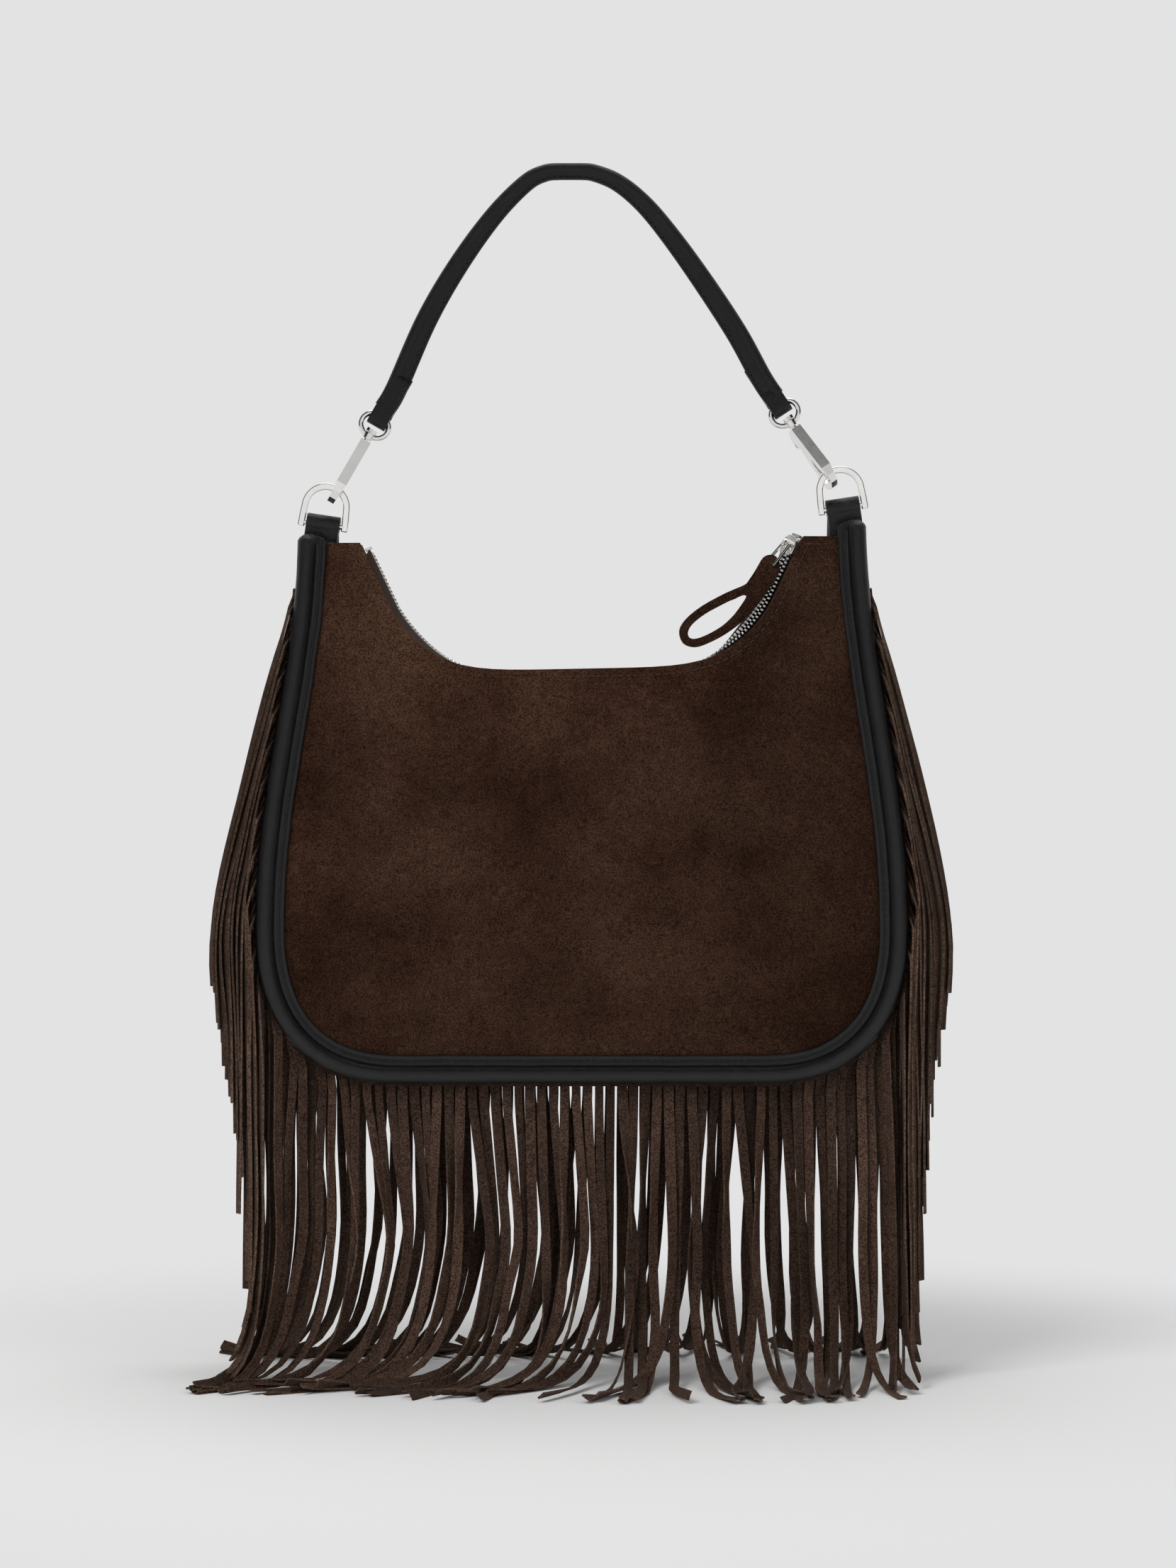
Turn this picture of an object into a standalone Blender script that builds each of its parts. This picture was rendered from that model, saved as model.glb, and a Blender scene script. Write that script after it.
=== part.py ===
"""Fringed suede bag with a rolled leather strap on two snap hooks.

The bag hangs from the crown of its strap. The origin is the flat underside of the strap there,
+X is to the right, -Y to the front and +Z up. Sizes are in metres. Bag heights count from the
underside of the bottom piping, bag widths from the bag's own centre plane.
"""
import math

import bmesh
import bpy
from mathutils import Matrix, Vector

MM = 0.001
LEFT, RIGHT = -1, 1
FRONT, BACK = -1, 1
CLEAR = 0.3 * MM

# Place of the bag under the strap
BAG_X = 5.4 * MM
BAG_Z = -410 * MM
FLOOR_Z = -134 * MM

# Outline of the piping's outer edge
TOP_HALF = 129 * MM
WIDE_HALF = 146.4 * MM
WIDE_Z = 72 * MM
CORNER_X = 80 * MM
CORNER_POWER = 2.4
TOP_Z = {LEFT: 248 * MM, RIGHT: 254.5 * MM}

# Depth from the centre plane to each seam
TOP_DEPTH = 7.9 * MM
BOTTOM_DEPTH = 31 * MM
DEEP_Z = 40 * MM

# Piping: a roll with a flat flange over the panel's edge
ROLL_R = 4.25 * MM
FLANGE_W = 4.5 * MM
FLANGE_T = 1.2 * MM

# Suede panels, gusset and scooped lip
PANEL_T = 1.6 * MM
PANEL_BULGE = 7 * MM
BULGE_RUN = 75 * MM
LAP_W = 4.9 * MM
PANEL_EDGE = -(ROLL_R + 0.4 * MM)
PANEL_TOP = {LEFT: 244 * MM, RIGHT: 247 * MM}
GUSSET_T = 1.5 * MM
GUSSET_TOP = 226 * MM
LIP_Z = 186.5 * MM
LIP_RISE = 60 * MM
LIP_HALF = 100 * MM
LIP_POWER = 5
LIP_TILT = 0.02
STRAIGHT_X = 86 * MM
STRAIGHT_SLOPE = 2.1

# Fringe
STRIP_PITCH = 5.2 * MM
STRIP_W = 4.9 * MM
STRIP_T = 1.0 * MM
STRIP_LENGTH = 185 * MM
STRIP_STACK = 1.3 * MM
FRINGE_TOP = 226 * MM
HEADER_Y = 5.15 * MM
HEADER_T = 1.2 * MM
HEADER_W = 7.4 * MM
HEADER_OUT = 3.0 * MM
REACH = 7.4 * MM
DROP = 7 * MM
HANG_OUT = 8 * MM
HANG_PACK = 0.085
SWAY = 4 * MM
LAYERS = 3

# Zip
ROW_IN = 0.6 * MM
ROW_OUT = 2.7 * MM
ROW_HALF_T = 1.4 * MM
ROWS_END = {LEFT: 2.0 * MM, RIGHT: 0.6 * MM}
STOP_LENGTH = 1.2 * MM
TAPE_T = 0.8 * MM
TAPE_DROP = 6 * MM
CHAIN_SINK = 2.0 * MM
CHAIN_RISE = 2.2 * MM
CHAIN_ROLL = math.radians(40)
SLIDER_X = 98.0 * MM
SLIDER_LENGTH = 9 * MM
SLIDER_HALF_W = 4.1 * MM
SLIDER_HALF_T = 2.9 * MM
SLIDER_PLATE = 1.0 * MM
NECK_T = 0.6 * MM
LUG_H = 3.6 * MM
LUG_T = 1.8 * MM
LUG_HOLE_R = 1.2 * MM
PULL_LENGTH = 12 * MM
PULL_WIRE_R = 0.8 * MM
PULL_END_HALF = 2.8 * MM
LOOP_T = 2.0 * MM
LOOP_LEAN = 0.12
LOOP_HOLE_R = 1.4 * MM

# Tabs and D-rings
TAB_W = 15.2 * MM
TAB_LEATHER = 1.5 * MM
TAB_HALF_T = 3.3 * MM
TAB_END_Z = 231 * MM
BAR_R = 1.35 * MM
BAR_HOLE_R = 2.8 * MM
BAR_AT = {LEFT: (-118.0 * MM, 252.9 * MM), RIGHT: (119.0 * MM, 260.6 * MM)}
RING_TILT = {LEFT: math.radians(8.5), RIGHT: math.radians(-8.5)}
RING_BAND = 3.1 * MM
RING_DEPTH = 2.6 * MM
RING_HALF_W = 9.95 * MM
RING_ARC_R = 9.5 * MM
RING_ARC_Z = 7.8 * MM
RING_FOOT = 2.2 * MM
SEAT_ANGLE = {LEFT: math.radians(25), RIGHT: math.radians(-35)}

# Snap hooks: the seat is the place of the D-ring's band inside the nose
HOOK_T = 4.8 * MM
NOSE_T = 3.2 * MM
NOSE_FROM = 24.5 * MM
SEAT_U = 0.6 * MM
SEAT_W = 26.6 * MM
GATE_U = -4.6 * MM
PIVOT_W = 8.0 * MM
GATE_END_W = 24.6 * MM
GATE_R = 1.5 * MM
TONGUE_T = 1.8 * MM
PIN_R = 0.6 * MM
HOOK_TURN = {LEFT: math.radians(84), RIGHT: math.radians(76)}
HOOK_OUTLINE = [
    (2.6, 0.5), (-2.6, 0.5), (-6.0, 3.8), (-6.2, 8.6), (-5.2, 9.8), (-2.3, 9.8), (0.0, 11.4),
    (0.9, 14.6), (4.2, 23.5), (4.4, 26.6), (3.6, 28.8), (1.0, 29.8), (-1.9, 29.4), (-3.0, 28.1),
    (-3.1, 24.9), (-6.2, 24.9), (-5.9, 29.2), (-4.0, 31.9), (-1.0, 33.2), (2.6, 33.0),
    (5.8, 31.0), (7.6, 27.4), (7.6, 23.0),
]

# Eye rings and swivel posts
EYE_HALF_W = 6.6 * MM
EYE_HALF_H = 5.6 * MM
EYE_WIRE_R = 1.25 * MM
BOSS_R = 2.4 * MM
BOSS_HALF_H = 1.6 * MM
POST_R = 1.2 * MM
HEAD_R = 2.7 * MM
HEAD_H = 1.6 * MM

# Strap: centre line from the left eye ring over the crown to the right one
STRAP_ROLL_R = 2.75 * MM
STRAP_FLANGE_T = 3.0 * MM
CROWN_H = 7.7 * MM
END_H = 10.0 * MM
CROWN_FLAT = 5 * MM
LEFT_RUN = [(-11.5, 3.1), (-20.2, -1.5), (-34.6, -16.2), (-50.9, -38.7), (-65.5, -64.0)]
RIGHT_RUN = [(11.0, 3.2), (21.1, -0.9), (31.7, -9.2), (42.6, -21.5), (58.0, -42.5), (75.5, -69.0)]
FOLD_HOLE_R = 1.75 * MM
FOLD_SLOT = 2.6 * MM
FOLD_LEATHER = 1.6 * MM
FOLD_W = 9.0 * MM
FOLD_BACK = 19 * MM

MATERIALS = {
    "suede": ((0.048, 0.024, 0.014, 1), 0.95, 0.0),
    "piping_leather": ((0.012, 0.012, 0.013, 1), 0.45, 0.0),
    "strap_leather": ((0.012, 0.012, 0.013, 1), 0.45, 0.0),
    "nickel": ((0.75, 0.75, 0.76, 1), 0.12, 1.0),
    "zip_metal": ((0.7, 0.7, 0.71, 1), 0.25, 1.0),
    "zip_tape": ((0.03, 0.018, 0.012, 1), 0.9, 0.0),
}


def material(name):
    """The named finish, made once."""
    made = bpy.data.materials.get(name)
    if made is None:
        colour, roughness, metallic = MATERIALS[name]
        made = bpy.data.materials.new(name)
        made.use_nodes = True
        shader = made.node_tree.nodes["Principled BSDF"]
        shader.inputs["Base Color"].default_value = colour
        shader.inputs["Roughness"].default_value = roughness
        shader.inputs["Metallic"].default_value = metallic
        made.diffuse_color = colour
    return made


def add_object(name, bm, finish, smooth=40, helper=False):
    """Turns a bmesh into an object with its faces pointing out."""
    bmesh.ops.recalc_face_normals(bm, faces=bm.faces)
    if bm.calc_volume(signed=True) < 0:
        bmesh.ops.reverse_faces(bm, faces=bm.faces)
    mesh = bpy.data.meshes.new(name)
    bm.to_mesh(mesh)
    bm.free()
    obj = bpy.data.objects.new(name, mesh)
    bpy.context.scene.collection.objects.link(obj)
    mesh.materials.append(material(finish))
    mesh.shade_smooth()
    mesh.set_sharp_from_angle(angle=math.radians(smooth))
    if helper:
        obj.hide_render = True
        obj.display_type = "WIRE"
    return obj


def boolean(obj, operation, other):
    """Adds an exact Boolean of a helper object."""
    step = obj.modifiers.new(other.name, "BOOLEAN")
    step.operation = operation
    step.object = other


def clamp(value, low=0.0, high=1.0):
    return max(low, min(high, value))


def smooth_step(value):
    t = clamp(value)
    return t * t * (3 - 2 * t)


def mix(a, b, t):
    return a + (b - a) * t


def loft(rings, bm=None):
    """Joins rings of points, all with the same count, and caps both ends."""
    bm = bm or bmesh.new()
    rows = [[bm.verts.new(point) for point in ring] for ring in rings]
    for low, high in zip(rows, rows[1:]):
        for k in range(len(low)):
            j = (k + 1) % len(low)
            bm.faces.new((low[k], low[j], high[j], high[k]))
    bm.faces.new(rows[0])
    bm.faces.new(rows[-1])
    return bm


def torus(rings):
    """Joins rings of points into a closed round."""
    bm = bmesh.new()
    rows = [[bm.verts.new(point) for point in ring] for ring in rings]
    for low, high in zip(rows, rows[1:] + rows[:1]):
        for k in range(len(low)):
            j = (k + 1) % len(low)
            bm.faces.new((low[k], low[j], high[j], high[k]))
    return bm


def hollow_prism(outer, inner, place, low, high):
    """A prism with a hole: outer and inner are outlines with as many points, place makes 3D."""
    bm = bmesh.new()
    walls = [
        [[bm.verts.new(place(a, b, end)) for a, b in outline] for outline in (outer, inner)]
        for end in (low, high)
    ]
    count = len(outer)
    for k in range(count):
        j = (k + 1) % count
        for lip, hole in walls:
            bm.faces.new((lip[k], lip[j], hole[j], hole[k]))
        for which in (0, 1):
            near, far = walls[0][which], walls[1][which]
            bm.faces.new((near[k], near[j], far[j], far[k]))
    return bm


def circle(radius, count, centre=(0, 0), start=0.0):
    """Points of a circle as pairs."""
    turn = 2 * math.pi / count
    return [
        (
            centre[0] + radius * math.cos(start + turn * k),
            centre[1] + radius * math.sin(start + turn * k),
        )
        for k in range(count)
    ]


def rod(start, end, radius, sides=8, bm=None):
    """A round rod between two points."""
    axis = (end - start).normalized()
    across = axis.orthogonal().normalized()
    other = axis.cross(across)
    rings = [
        [point + across * a + other * b for a, b in circle(radius, sides)] for point in (start, end)
    ]
    return loft(rings, bm)


def bag_point(x, y, z):
    """A point of the bag's own frame, in the world."""
    return Vector((BAG_X + x, y, BAG_Z + z))


def flare(z, side):
    """Half width of the piping's outer edge at height z of the straight side."""
    t = clamp((TOP_Z[side] - z) / (TOP_Z[side] - WIDE_Z))
    return TOP_HALF + (WIDE_HALF - TOP_HALF) * (1 - math.cos(math.pi * t)) / 2


def half_outline(side, steps=24):
    """Outer edge of one half of the piping, from the bottom's centre up to the top."""
    points = [(side * CORNER_X * k / 6, 0.0) for k in range(6)]
    for k in range(steps + 1):
        angle = math.pi / 2 * (1 - k / steps)
        across = math.cos(angle) ** (2 / CORNER_POWER)
        down = math.sin(angle) ** (2 / CORNER_POWER)
        points.append((side * (CORNER_X + (WIDE_HALF - CORNER_X) * across), WIDE_Z * (1 - down)))
    for k in range(1, steps + 1):
        z = mix(WIDE_Z, TOP_Z[side], k / steps)
        points.append((side * flare(z, side), z))
    return points


class Seam:
    """The line through the piping's roll, by its length from the bottom's centre."""

    def __init__(self):
        edge = half_outline(LEFT)[:0:-1] + half_outline(RIGHT)
        edge = [Vector(point) for point in edge]
        line = []
        for k, point in enumerate(edge):
            before = edge[max(k - 1, 0)]
            after = edge[min(k + 1, len(edge) - 1)]
            along = (after - before).normalized()
            line.append(point + Vector((-along.y, along.x)) * ROLL_R)
        self.line = line
        self.length = [0.0]
        for a, b in zip(line, line[1:]):
            self.length.append(self.length[-1] + (b - a).length)
        middle = min(range(len(line)), key=lambda k: abs(line[k].x) + line[k].y)
        self.zero = self.length[middle]
        self.low = -self.zero
        self.high = self.length[-1] - self.zero

    def at(self, s):
        """Place and outward direction at s."""
        want = clamp(s + self.zero, 0.0, self.length[-1])
        k = 0
        while k < len(self.line) - 2 and self.length[k + 1] < want:
            k += 1
        t = (want - self.length[k]) / (self.length[k + 1] - self.length[k])
        point = self.line[k].lerp(self.line[k + 1], t)
        near = self.line[max(k - 1, 0)]
        far = self.line[min(k + 2, len(self.line) - 1)]
        along = (far - near).normalized()
        return point, Vector((along.y, -along.x))

    def find(self, height, side):
        """The s at which the seam reaches a height on one side."""
        low, high = 0.0, self.high if side == RIGHT else -self.low
        for _ in range(40):
            middle = (low + high) / 2
            if self.at(side * middle)[0].y < height:
                low = middle
            else:
                high = middle
        return side * low


SEAM = Seam()


def half_depth(x, z):
    """Distance from the centre plane to the seam at a height."""
    top = mix(TOP_Z[LEFT], TOP_Z[RIGHT], clamp(x / TOP_HALF * 0.5 + 0.5))
    t = clamp((top - z) / (top - DEEP_Z))
    return TOP_DEPTH + (BOTTOM_DEPTH - TOP_DEPTH) * math.sin(math.pi / 2 * t)


def seam_point(s, out, inward, face):
    """A point near the seam: out from the bag's edge, inward towards the centre plane."""
    point, normal = SEAM.at(s)
    depth = half_depth(point.x, point.y)
    place = point + normal * out
    return bag_point(place.x, face * (depth - inward), place.y)


def stations(low, high, count):
    return [mix(low, high, k / count) for k in range(count + 1)]


def make_piping(name, face):
    """The roll with its flange, swept round the seam."""
    lap = math.asin(FLANGE_T / 2 / ROLL_R)
    tip = -(ROLL_R + FLANGE_W)
    section = [(tip, FLANGE_T / 2)]
    for k in range(7):
        angle = mix(math.pi - lap, lap - math.pi, k / 6)
        section.append((ROLL_R * math.cos(angle), ROLL_R * math.sin(angle)))
    section.append((tip, -FLANGE_T / 2))
    rings = [
        [seam_point(s, out, inward, face) for out, inward in section]
        for s in stations(SEAM.low, SEAM.high, 36)
    ]
    return add_object(name, loft(rings), "piping_leather", smooth=60)


def lip_z(x):
    """Height of the scooped lip."""
    side = RIGHT if x > 0 else LEFT
    reach = min(abs(x), STRAIGHT_X)
    z = LIP_Z + LIP_RISE * (reach / LIP_HALF) ** LIP_POWER + LIP_TILT * side * reach
    return z + STRAIGHT_SLOPE * (abs(x) - reach)


def lip_end(side):
    """Where the lip's straight end meets the panel's top edge."""
    base = lip_z(side * STRAIGHT_X)
    return STRAIGHT_X + (PANEL_TOP[side] - base) / STRAIGHT_SLOPE


def panel_edge(s, inset=0.0):
    """A point of the panel's rim under the piping, or inset from it."""
    point, normal = SEAM.at(s)
    return point + normal * (PANEL_EDGE - inset)


def panel_flank(side):
    """The s of the inset rim's low and high ends on one side, and its half width at the top."""
    low, high = 0.0, abs(SEAM.high if side == RIGHT else SEAM.low)
    for _ in range(40):
        middle = (low + high) / 2
        if panel_edge(side * middle, LAP_W).y < PANEL_TOP[side]:
            low = middle
        else:
            high = middle
    return SEAM.find(WIDE_Z, side), side * low, abs(panel_edge(side * low, LAP_W).x)


def panel_depth(x, z):
    """Outer face of a suede panel from the centre plane: flat under the piping, then bulged."""
    place = Vector((x, z))
    away = min((place - point).length for point in SEAM.line) + PANEL_EDGE - LAP_W
    swell = 1 - (1 - clamp(away / BULGE_RUN)) ** 2.5
    height = 0.35 + 0.65 * math.sin(math.pi * clamp(z / (210 * MM)))
    return half_depth(x, z) - FLANGE_T / 2 - 2 * CLEAR + PANEL_BULGE * swell * height


def panel_top(x):
    """Top edge of the panel at x."""
    side = RIGHT if x > 0 else LEFT
    if abs(x) >= lip_end(side) - 1e-6:
        return PANEL_TOP[side]
    return lip_z(x)


def panel_columns(flanks):
    """Places across the panel's top edge, dense along the steep ends of the lip."""
    halves = {}
    for side in (LEFT, RIGHT):
        end = lip_end(side)
        places = [30 * MM, 55 * MM, 74 * MM, STRAIGHT_X, mix(STRAIGHT_X, end, 0.5), end]
        halves[side] = [side * x for x in places + [flanks[side][2]]]
    return halves[LEFT][::-1] + [0.0] + halves[RIGHT]


def make_panel(name, face):
    """A suede sheet: a patch between its four edges, bulged, with a flat rim under the piping."""
    flanks = {side: panel_flank(side) for side in (LEFT, RIGHT)}
    columns = panel_columns(flanks)
    rows = [0, 0.14, 0.36, 0.6, 0.82, 1]

    def bottom_s(x):
        low, _, width = flanks[RIGHT if x > 0 else LEFT]
        return low * abs(x) / width

    def flank_s(side, v):
        return mix(flanks[side][0], flanks[side][1], v)

    first, last = columns[0], columns[-1]
    bm = bmesh.new()

    def pair(place):
        depth = panel_depth(place.x, place.y)
        return [
            bm.verts.new(bag_point(place.x, face * y, place.y)) for y in (depth, depth - PANEL_T)
        ]

    grid = []
    for v in rows:
        row = []
        for x in columns:
            u = (x - first) / (last - first)
            place = panel_edge(bottom_s(x), LAP_W) * (1 - v) + Vector((x, panel_top(x))) * v
            place += panel_edge(flank_s(LEFT, v), LAP_W) * (1 - u)
            place += panel_edge(flank_s(RIGHT, v), LAP_W) * u
            low = panel_edge(bottom_s(first), LAP_W) * (1 - u) + panel_edge(bottom_s(last), LAP_W) * u
            high = Vector((first, PANEL_TOP[LEFT])) * (1 - u) + Vector((last, PANEL_TOP[RIGHT])) * u
            row.append(pair(place - low * (1 - v) - high * v))
        grid.append(row)
    rim_s = [flank_s(LEFT, v) for v in rows[:0:-1]] + [bottom_s(x) for x in columns]
    rim_s += [flank_s(RIGHT, v) for v in rows[1:]]
    rim = [pair(panel_edge(s)) for s in rim_s]
    beside = [row[0] for row in grid[:0:-1]] + grid[0] + [row[-1] for row in grid[1:]]
    for layer in (0, 1):
        for low, high in zip(grid, grid[1:]):
            for k in range(len(columns) - 1):
                corners = (low[k], low[k + 1], high[k + 1], high[k])
                bm.faces.new([corner[layer] for corner in corners])
        for k in range(len(rim) - 1):
            corners = (rim[k], rim[k + 1], beside[k + 1], beside[k])
            bm.faces.new([corner[layer] for corner in corners])
    loop = rim + grid[-1][::-1]
    for k, here in enumerate(loop):
        there = loop[(k + 1) % len(loop)]
        bm.faces.new((here[0], there[0], there[1], here[1]))
    return add_object(name, bm, "suede", smooth=60)


def make_gusset():
    """The band that joins the two seams round the sides and bottom."""
    out = ROLL_R - 2 * CLEAR - HEADER_OUT - 1.8 * MM
    edge = HEADER_Y + HEADER_T / 2 + CLEAR
    low = SEAM.find(GUSSET_TOP, LEFT)
    high = SEAM.find(GUSSET_TOP, RIGHT)
    rings = []
    for s in stations(low, high, 34):
        ring = [seam_point(s, out, edge, FRONT), seam_point(s, out, edge, BACK)]
        ring += [seam_point(s, out - GUSSET_T, edge, BACK), seam_point(s, out - GUSSET_T, edge, FRONT)]
        rings.append(ring)
    return add_object("gusset", loft(rings), "suede", smooth=60)


def hang_line():
    """The x at which each strip hangs below the bag's widest place, by its s from the bottom."""
    top = {side: SEAM.find(FRINGE_TOP, side) for side in (LEFT, RIGHT)}
    hang = {}
    for side in (LEFT, RIGHT):
        count = int(abs(top[side]) / STRIP_PITCH)
        x = STRIP_PITCH / 2
        for k in range(count):
            s = (k + 0.5) * STRIP_PITCH
            normal = SEAM.at(side * s)[1]
            hang[side, k] = (side * s, side * (x + HANG_OUT * abs(normal.x)))
            x += STRIP_PITCH * max(abs(normal.y), HANG_PACK)
    return hang


HANG = hang_line()


def strip_route(side, k, face):
    """Points of one strip's centre line with the direction of its width at each."""
    s, hang_x = HANG[side, k]
    point, normal = SEAM.at(s)
    flat = abs(normal.x) ** 8
    turn = math.pi / 2 * flat
    layer = k % LAYERS
    step = mix(STRIP_STACK, STRIP_W + 0.2 * MM, math.sin(turn))
    first = mix(HEADER_Y - STRIP_STACK, -1.2 * MM, math.sin(turn))
    inward = first + layer * step
    width = Vector((side * math.cos(turn), face * math.sin(turn), 0))
    tangent = Vector((-normal.y, 0, normal.x)) * side
    depth = half_depth(point.x, point.y)
    free = 1 - abs(normal.x)
    sway = SWAY * math.sin(1.7 * k + side) * free
    lower, lower_normal = SEAM.at(side * max(abs(s) - DROP * abs(normal.x), 0))
    reach = lower + lower_normal * mix(11 * MM, REACH, abs(normal.x))
    start = Vector((reach.x, face * (depth - inward), reach.y))
    route = [(start, width)]
    if point.y > WIDE_Z:
        knee_z = min(WIDE_Z, start.z - 8 * MM)
        knee = Vector((hang_x, face * (half_depth(point.x, knee_z) - inward), knee_z))
        route.append((knee, width))
        route.append((Vector((hang_x, knee.y, FLOOR_Z - STRIP_LENGTH)), width))
        return route, tangent
    sweep = -0.6 if point.x < 20 * MM else 0.3
    lean = Vector((sweep * free, face * 0.8, 0)).normalized()
    lift = STRIP_T + layer * STRIP_STACK
    y = face * (depth - inward)
    bend = Vector((hang_x + sway, y, FLOOR_Z + 30 * MM))
    end = bend + lean * 80 * MM
    end.z = FLOOR_Z + lift
    near = bend + lean * 16 * MM
    near.z = FLOOR_Z + lift
    if face == FRONT or free < 0.5:
        route.append((bend, width))
    route += [(near, width), (end, width)]
    return route, tangent


def strip_rings(side, k, face, root):
    """Cross sections of one strip, cut to its length; root is its four corners at the header."""
    route, _ = strip_route(side, k, face)
    before = sum(root, Vector()) / 4
    before -= Vector((BAG_X, 0, BAG_Z))
    left = STRIP_LENGTH
    points = []
    for place, width in route:
        run = (place - before).length
        if run >= left:
            points.append((before.lerp(place, left / run), width))
            break
        points.append((place, width))
        left -= run
        before = place
    rings = []
    last = sum(root, Vector()) / 4 - Vector((BAG_X, 0, BAG_Z))
    for i, (place, width) in enumerate(points):
        after = points[min(i + 1, len(points) - 1)][0]
        along = (after - last).normalized()
        thick = along.cross(width).normalized()
        wide = thick.cross(along).normalized()
        last = place
        a, b = wide * STRIP_W / 2, thick * STRIP_T / 2
        centre = bag_point(place.x, place.y, place.z)
        rings.append([centre - a - b, centre + a - b, centre + a + b, centre - a + b])
    return rings


def make_fringe(name, face, picks):
    """A header band in the seam with its strips; picks are (side, k) in order along the seam."""
    bm = bmesh.new()
    half = STRIP_PITCH / 2
    inner_out = HEADER_OUT - HEADER_W

    def corner_row(s):
        places = [(inner_out, -1), (HEADER_OUT, -1), (HEADER_OUT, 1), (inner_out, 1)]
        return [
            bm.verts.new(seam_point(s, out, HEADER_Y + way * HEADER_T / 2, face))
            for out, way in places
        ]

    centres = [HANG[pick][0] for pick in picks]
    gap = CLEAR / 2
    ends = [centres[0] - half + gap] + [c + half for c in centres[:-1]] + [centres[-1] + half - gap]
    rows = [corner_row(s) for s in ends]
    for i, (side, k) in enumerate(picks):
        low, high = rows[i], rows[i + 1]
        for a, b in ((0, 1), (2, 3), (3, 0)):
            bm.faces.new((low[a], low[b], high[b], high[a]))
        inner_side = (low, high) if side == RIGHT else (high, low)
        root = [inner_side[0][1], inner_side[1][1], inner_side[1][2], inner_side[0][2]]
        rings = strip_rings(side, k, face, [v.co for v in root])
        if (rings[0][2] - rings[0][1]).dot(root[2].co - root[1].co) < 0:
            rings = [[ring[3], ring[2], ring[1], ring[0]] for ring in rings]
        previous = root
        for ring in rings:
            current = [bm.verts.new(point) for point in ring]
            for a in range(4):
                b = (a + 1) % 4
                bm.faces.new((previous[a], previous[b], current[b], current[a]))
            previous = current
        bm.faces.new(previous)
    bm.faces.new(rows[0])
    bm.faces.new(rows[-1])
    return add_object(name, bm, "suede", smooth=50)


def fringe_picks():
    """Strips of the left side, the bottom with its corners, and the right side."""
    order = sorted(HANG, key=lambda pick: HANG[pick][0])
    split = {"left": [], "bottom": [], "right": []}
    for pick in order:
        point = SEAM.at(HANG[pick][0])[0]
        if point.y <= WIDE_Z:
            split["bottom"].append(pick)
        else:
            split["left" if pick[0] == LEFT else "right"].append(pick)
    return split


def chain_point(x):
    """A point of the zip's middle line in the bag's frame, with its tangent, normal and width."""
    step = 0.2 * MM
    along = Vector((2 * step, 0, lip_z(x + step) - lip_z(x - step))).normalized()
    up = Vector((-along.z, 0, along.x))
    rise = mix(-CHAIN_SINK, CHAIN_RISE, smooth_step((abs(x) - 40 * MM) / (40 * MM)))
    roll = CHAIN_ROLL * smooth_step((x - 55 * MM) / (25 * MM))
    normal = up * math.cos(roll) + Vector((0, -1, 0)) * math.sin(roll)
    width = along.cross(normal)
    return Vector((x, 0, lip_z(x))) + up * rise, along, normal, width


def chain_stations():
    """Places along the zip, dense where the lip bends."""
    half = [0, 26, 44, 56, 66, 74, 80]
    left = [ROWS_END[LEFT] - lip_end(LEFT), -STRAIGHT_X - 0.3 * MM]
    right = [STRAIGHT_X + 0.3 * MM, lip_end(RIGHT) - ROWS_END[RIGHT]]
    return left + [-x * MM for x in half[:0:-1]] + [x * MM for x in half] + right


def to_bag(point):
    return bag_point(point.x, point.y, point.z)


def make_zip_row(name, face):
    """One row of teeth as a plain ridged bead on its tape's edge."""
    rings = []
    for x in chain_stations():
        centre, _, normal, width = chain_point(x)
        way = 1 if width.y * face > 0 else -1
        section = [(ROW_IN, -1), (ROW_OUT, -0.7), (ROW_OUT, 0.7), (ROW_IN, 1)]
        rings.append(
            [to_bag(centre + width * way * a + normal * b * ROW_HALF_T) for a, b in section]
        )
    return add_object(name, loft(rings), "zip_metal")


def make_zip_tape(name, face):
    """The woven tape from the teeth out to the panel's inner side."""
    rings = []
    for x in chain_stations():
        centre, _, normal, width = chain_point(x)
        way = 1 if width.y * face > 0 else -1
        edge = centre + width * way * (ROW_OUT + CLEAR)
        ledge = centre + width * way * (SLIDER_HALF_W + 1.4 * MM)
        drop = lip_z(x) - TAPE_DROP
        depth = panel_depth(x, drop) - PANEL_T - CLEAR - TAPE_T
        foot = Vector((centre.x, face * max(depth, abs(ledge.y) + 0.3 * MM), drop))
        if abs(x) > 60 * MM:
            foot.x += math.copysign(3.5 * MM, x)
        side_way = Vector((0, face, 0))
        half = normal * TAPE_T / 2
        rings.append(
            [
                to_bag(edge - half), to_bag(ledge - half), to_bag(foot - side_way * 0.1 * MM),
                to_bag(foot + side_way * TAPE_T), to_bag(ledge + half + side_way * 0.3 * MM),
                to_bag(edge + half),
            ]
        )
    bm = loft(rings)
    bmesh.ops.triangulate(bm, faces=bm.faces)
    return add_object(name, bm, "zip_tape", smooth=60)


def make_zip_stop(name, x, length):
    """A metal block that closes the end of the teeth."""
    centre, along, normal, width = chain_point(x)
    rings = []
    for way in (0, 1):
        place = centre + along * length * way
        rings.append(
            [
                to_bag(place + width * a * 2.6 * MM + normal * b * 1.5 * MM)
                for a, b in ((-1, -1), (1, -1), (1, 1), (-1, 1))
            ]
        )
    return add_object(name, loft(rings), "zip_metal")


def slider_frame():
    """The slider's axes: x down the zip, y across it, z off its face."""
    centre, along, normal, width = chain_point(SLIDER_X)
    down = -along
    across = normal.cross(down)
    turn = Matrix((down, across, normal)).transposed().to_4x4()
    return Matrix.Translation(to_bag(centre)) @ turn


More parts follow.
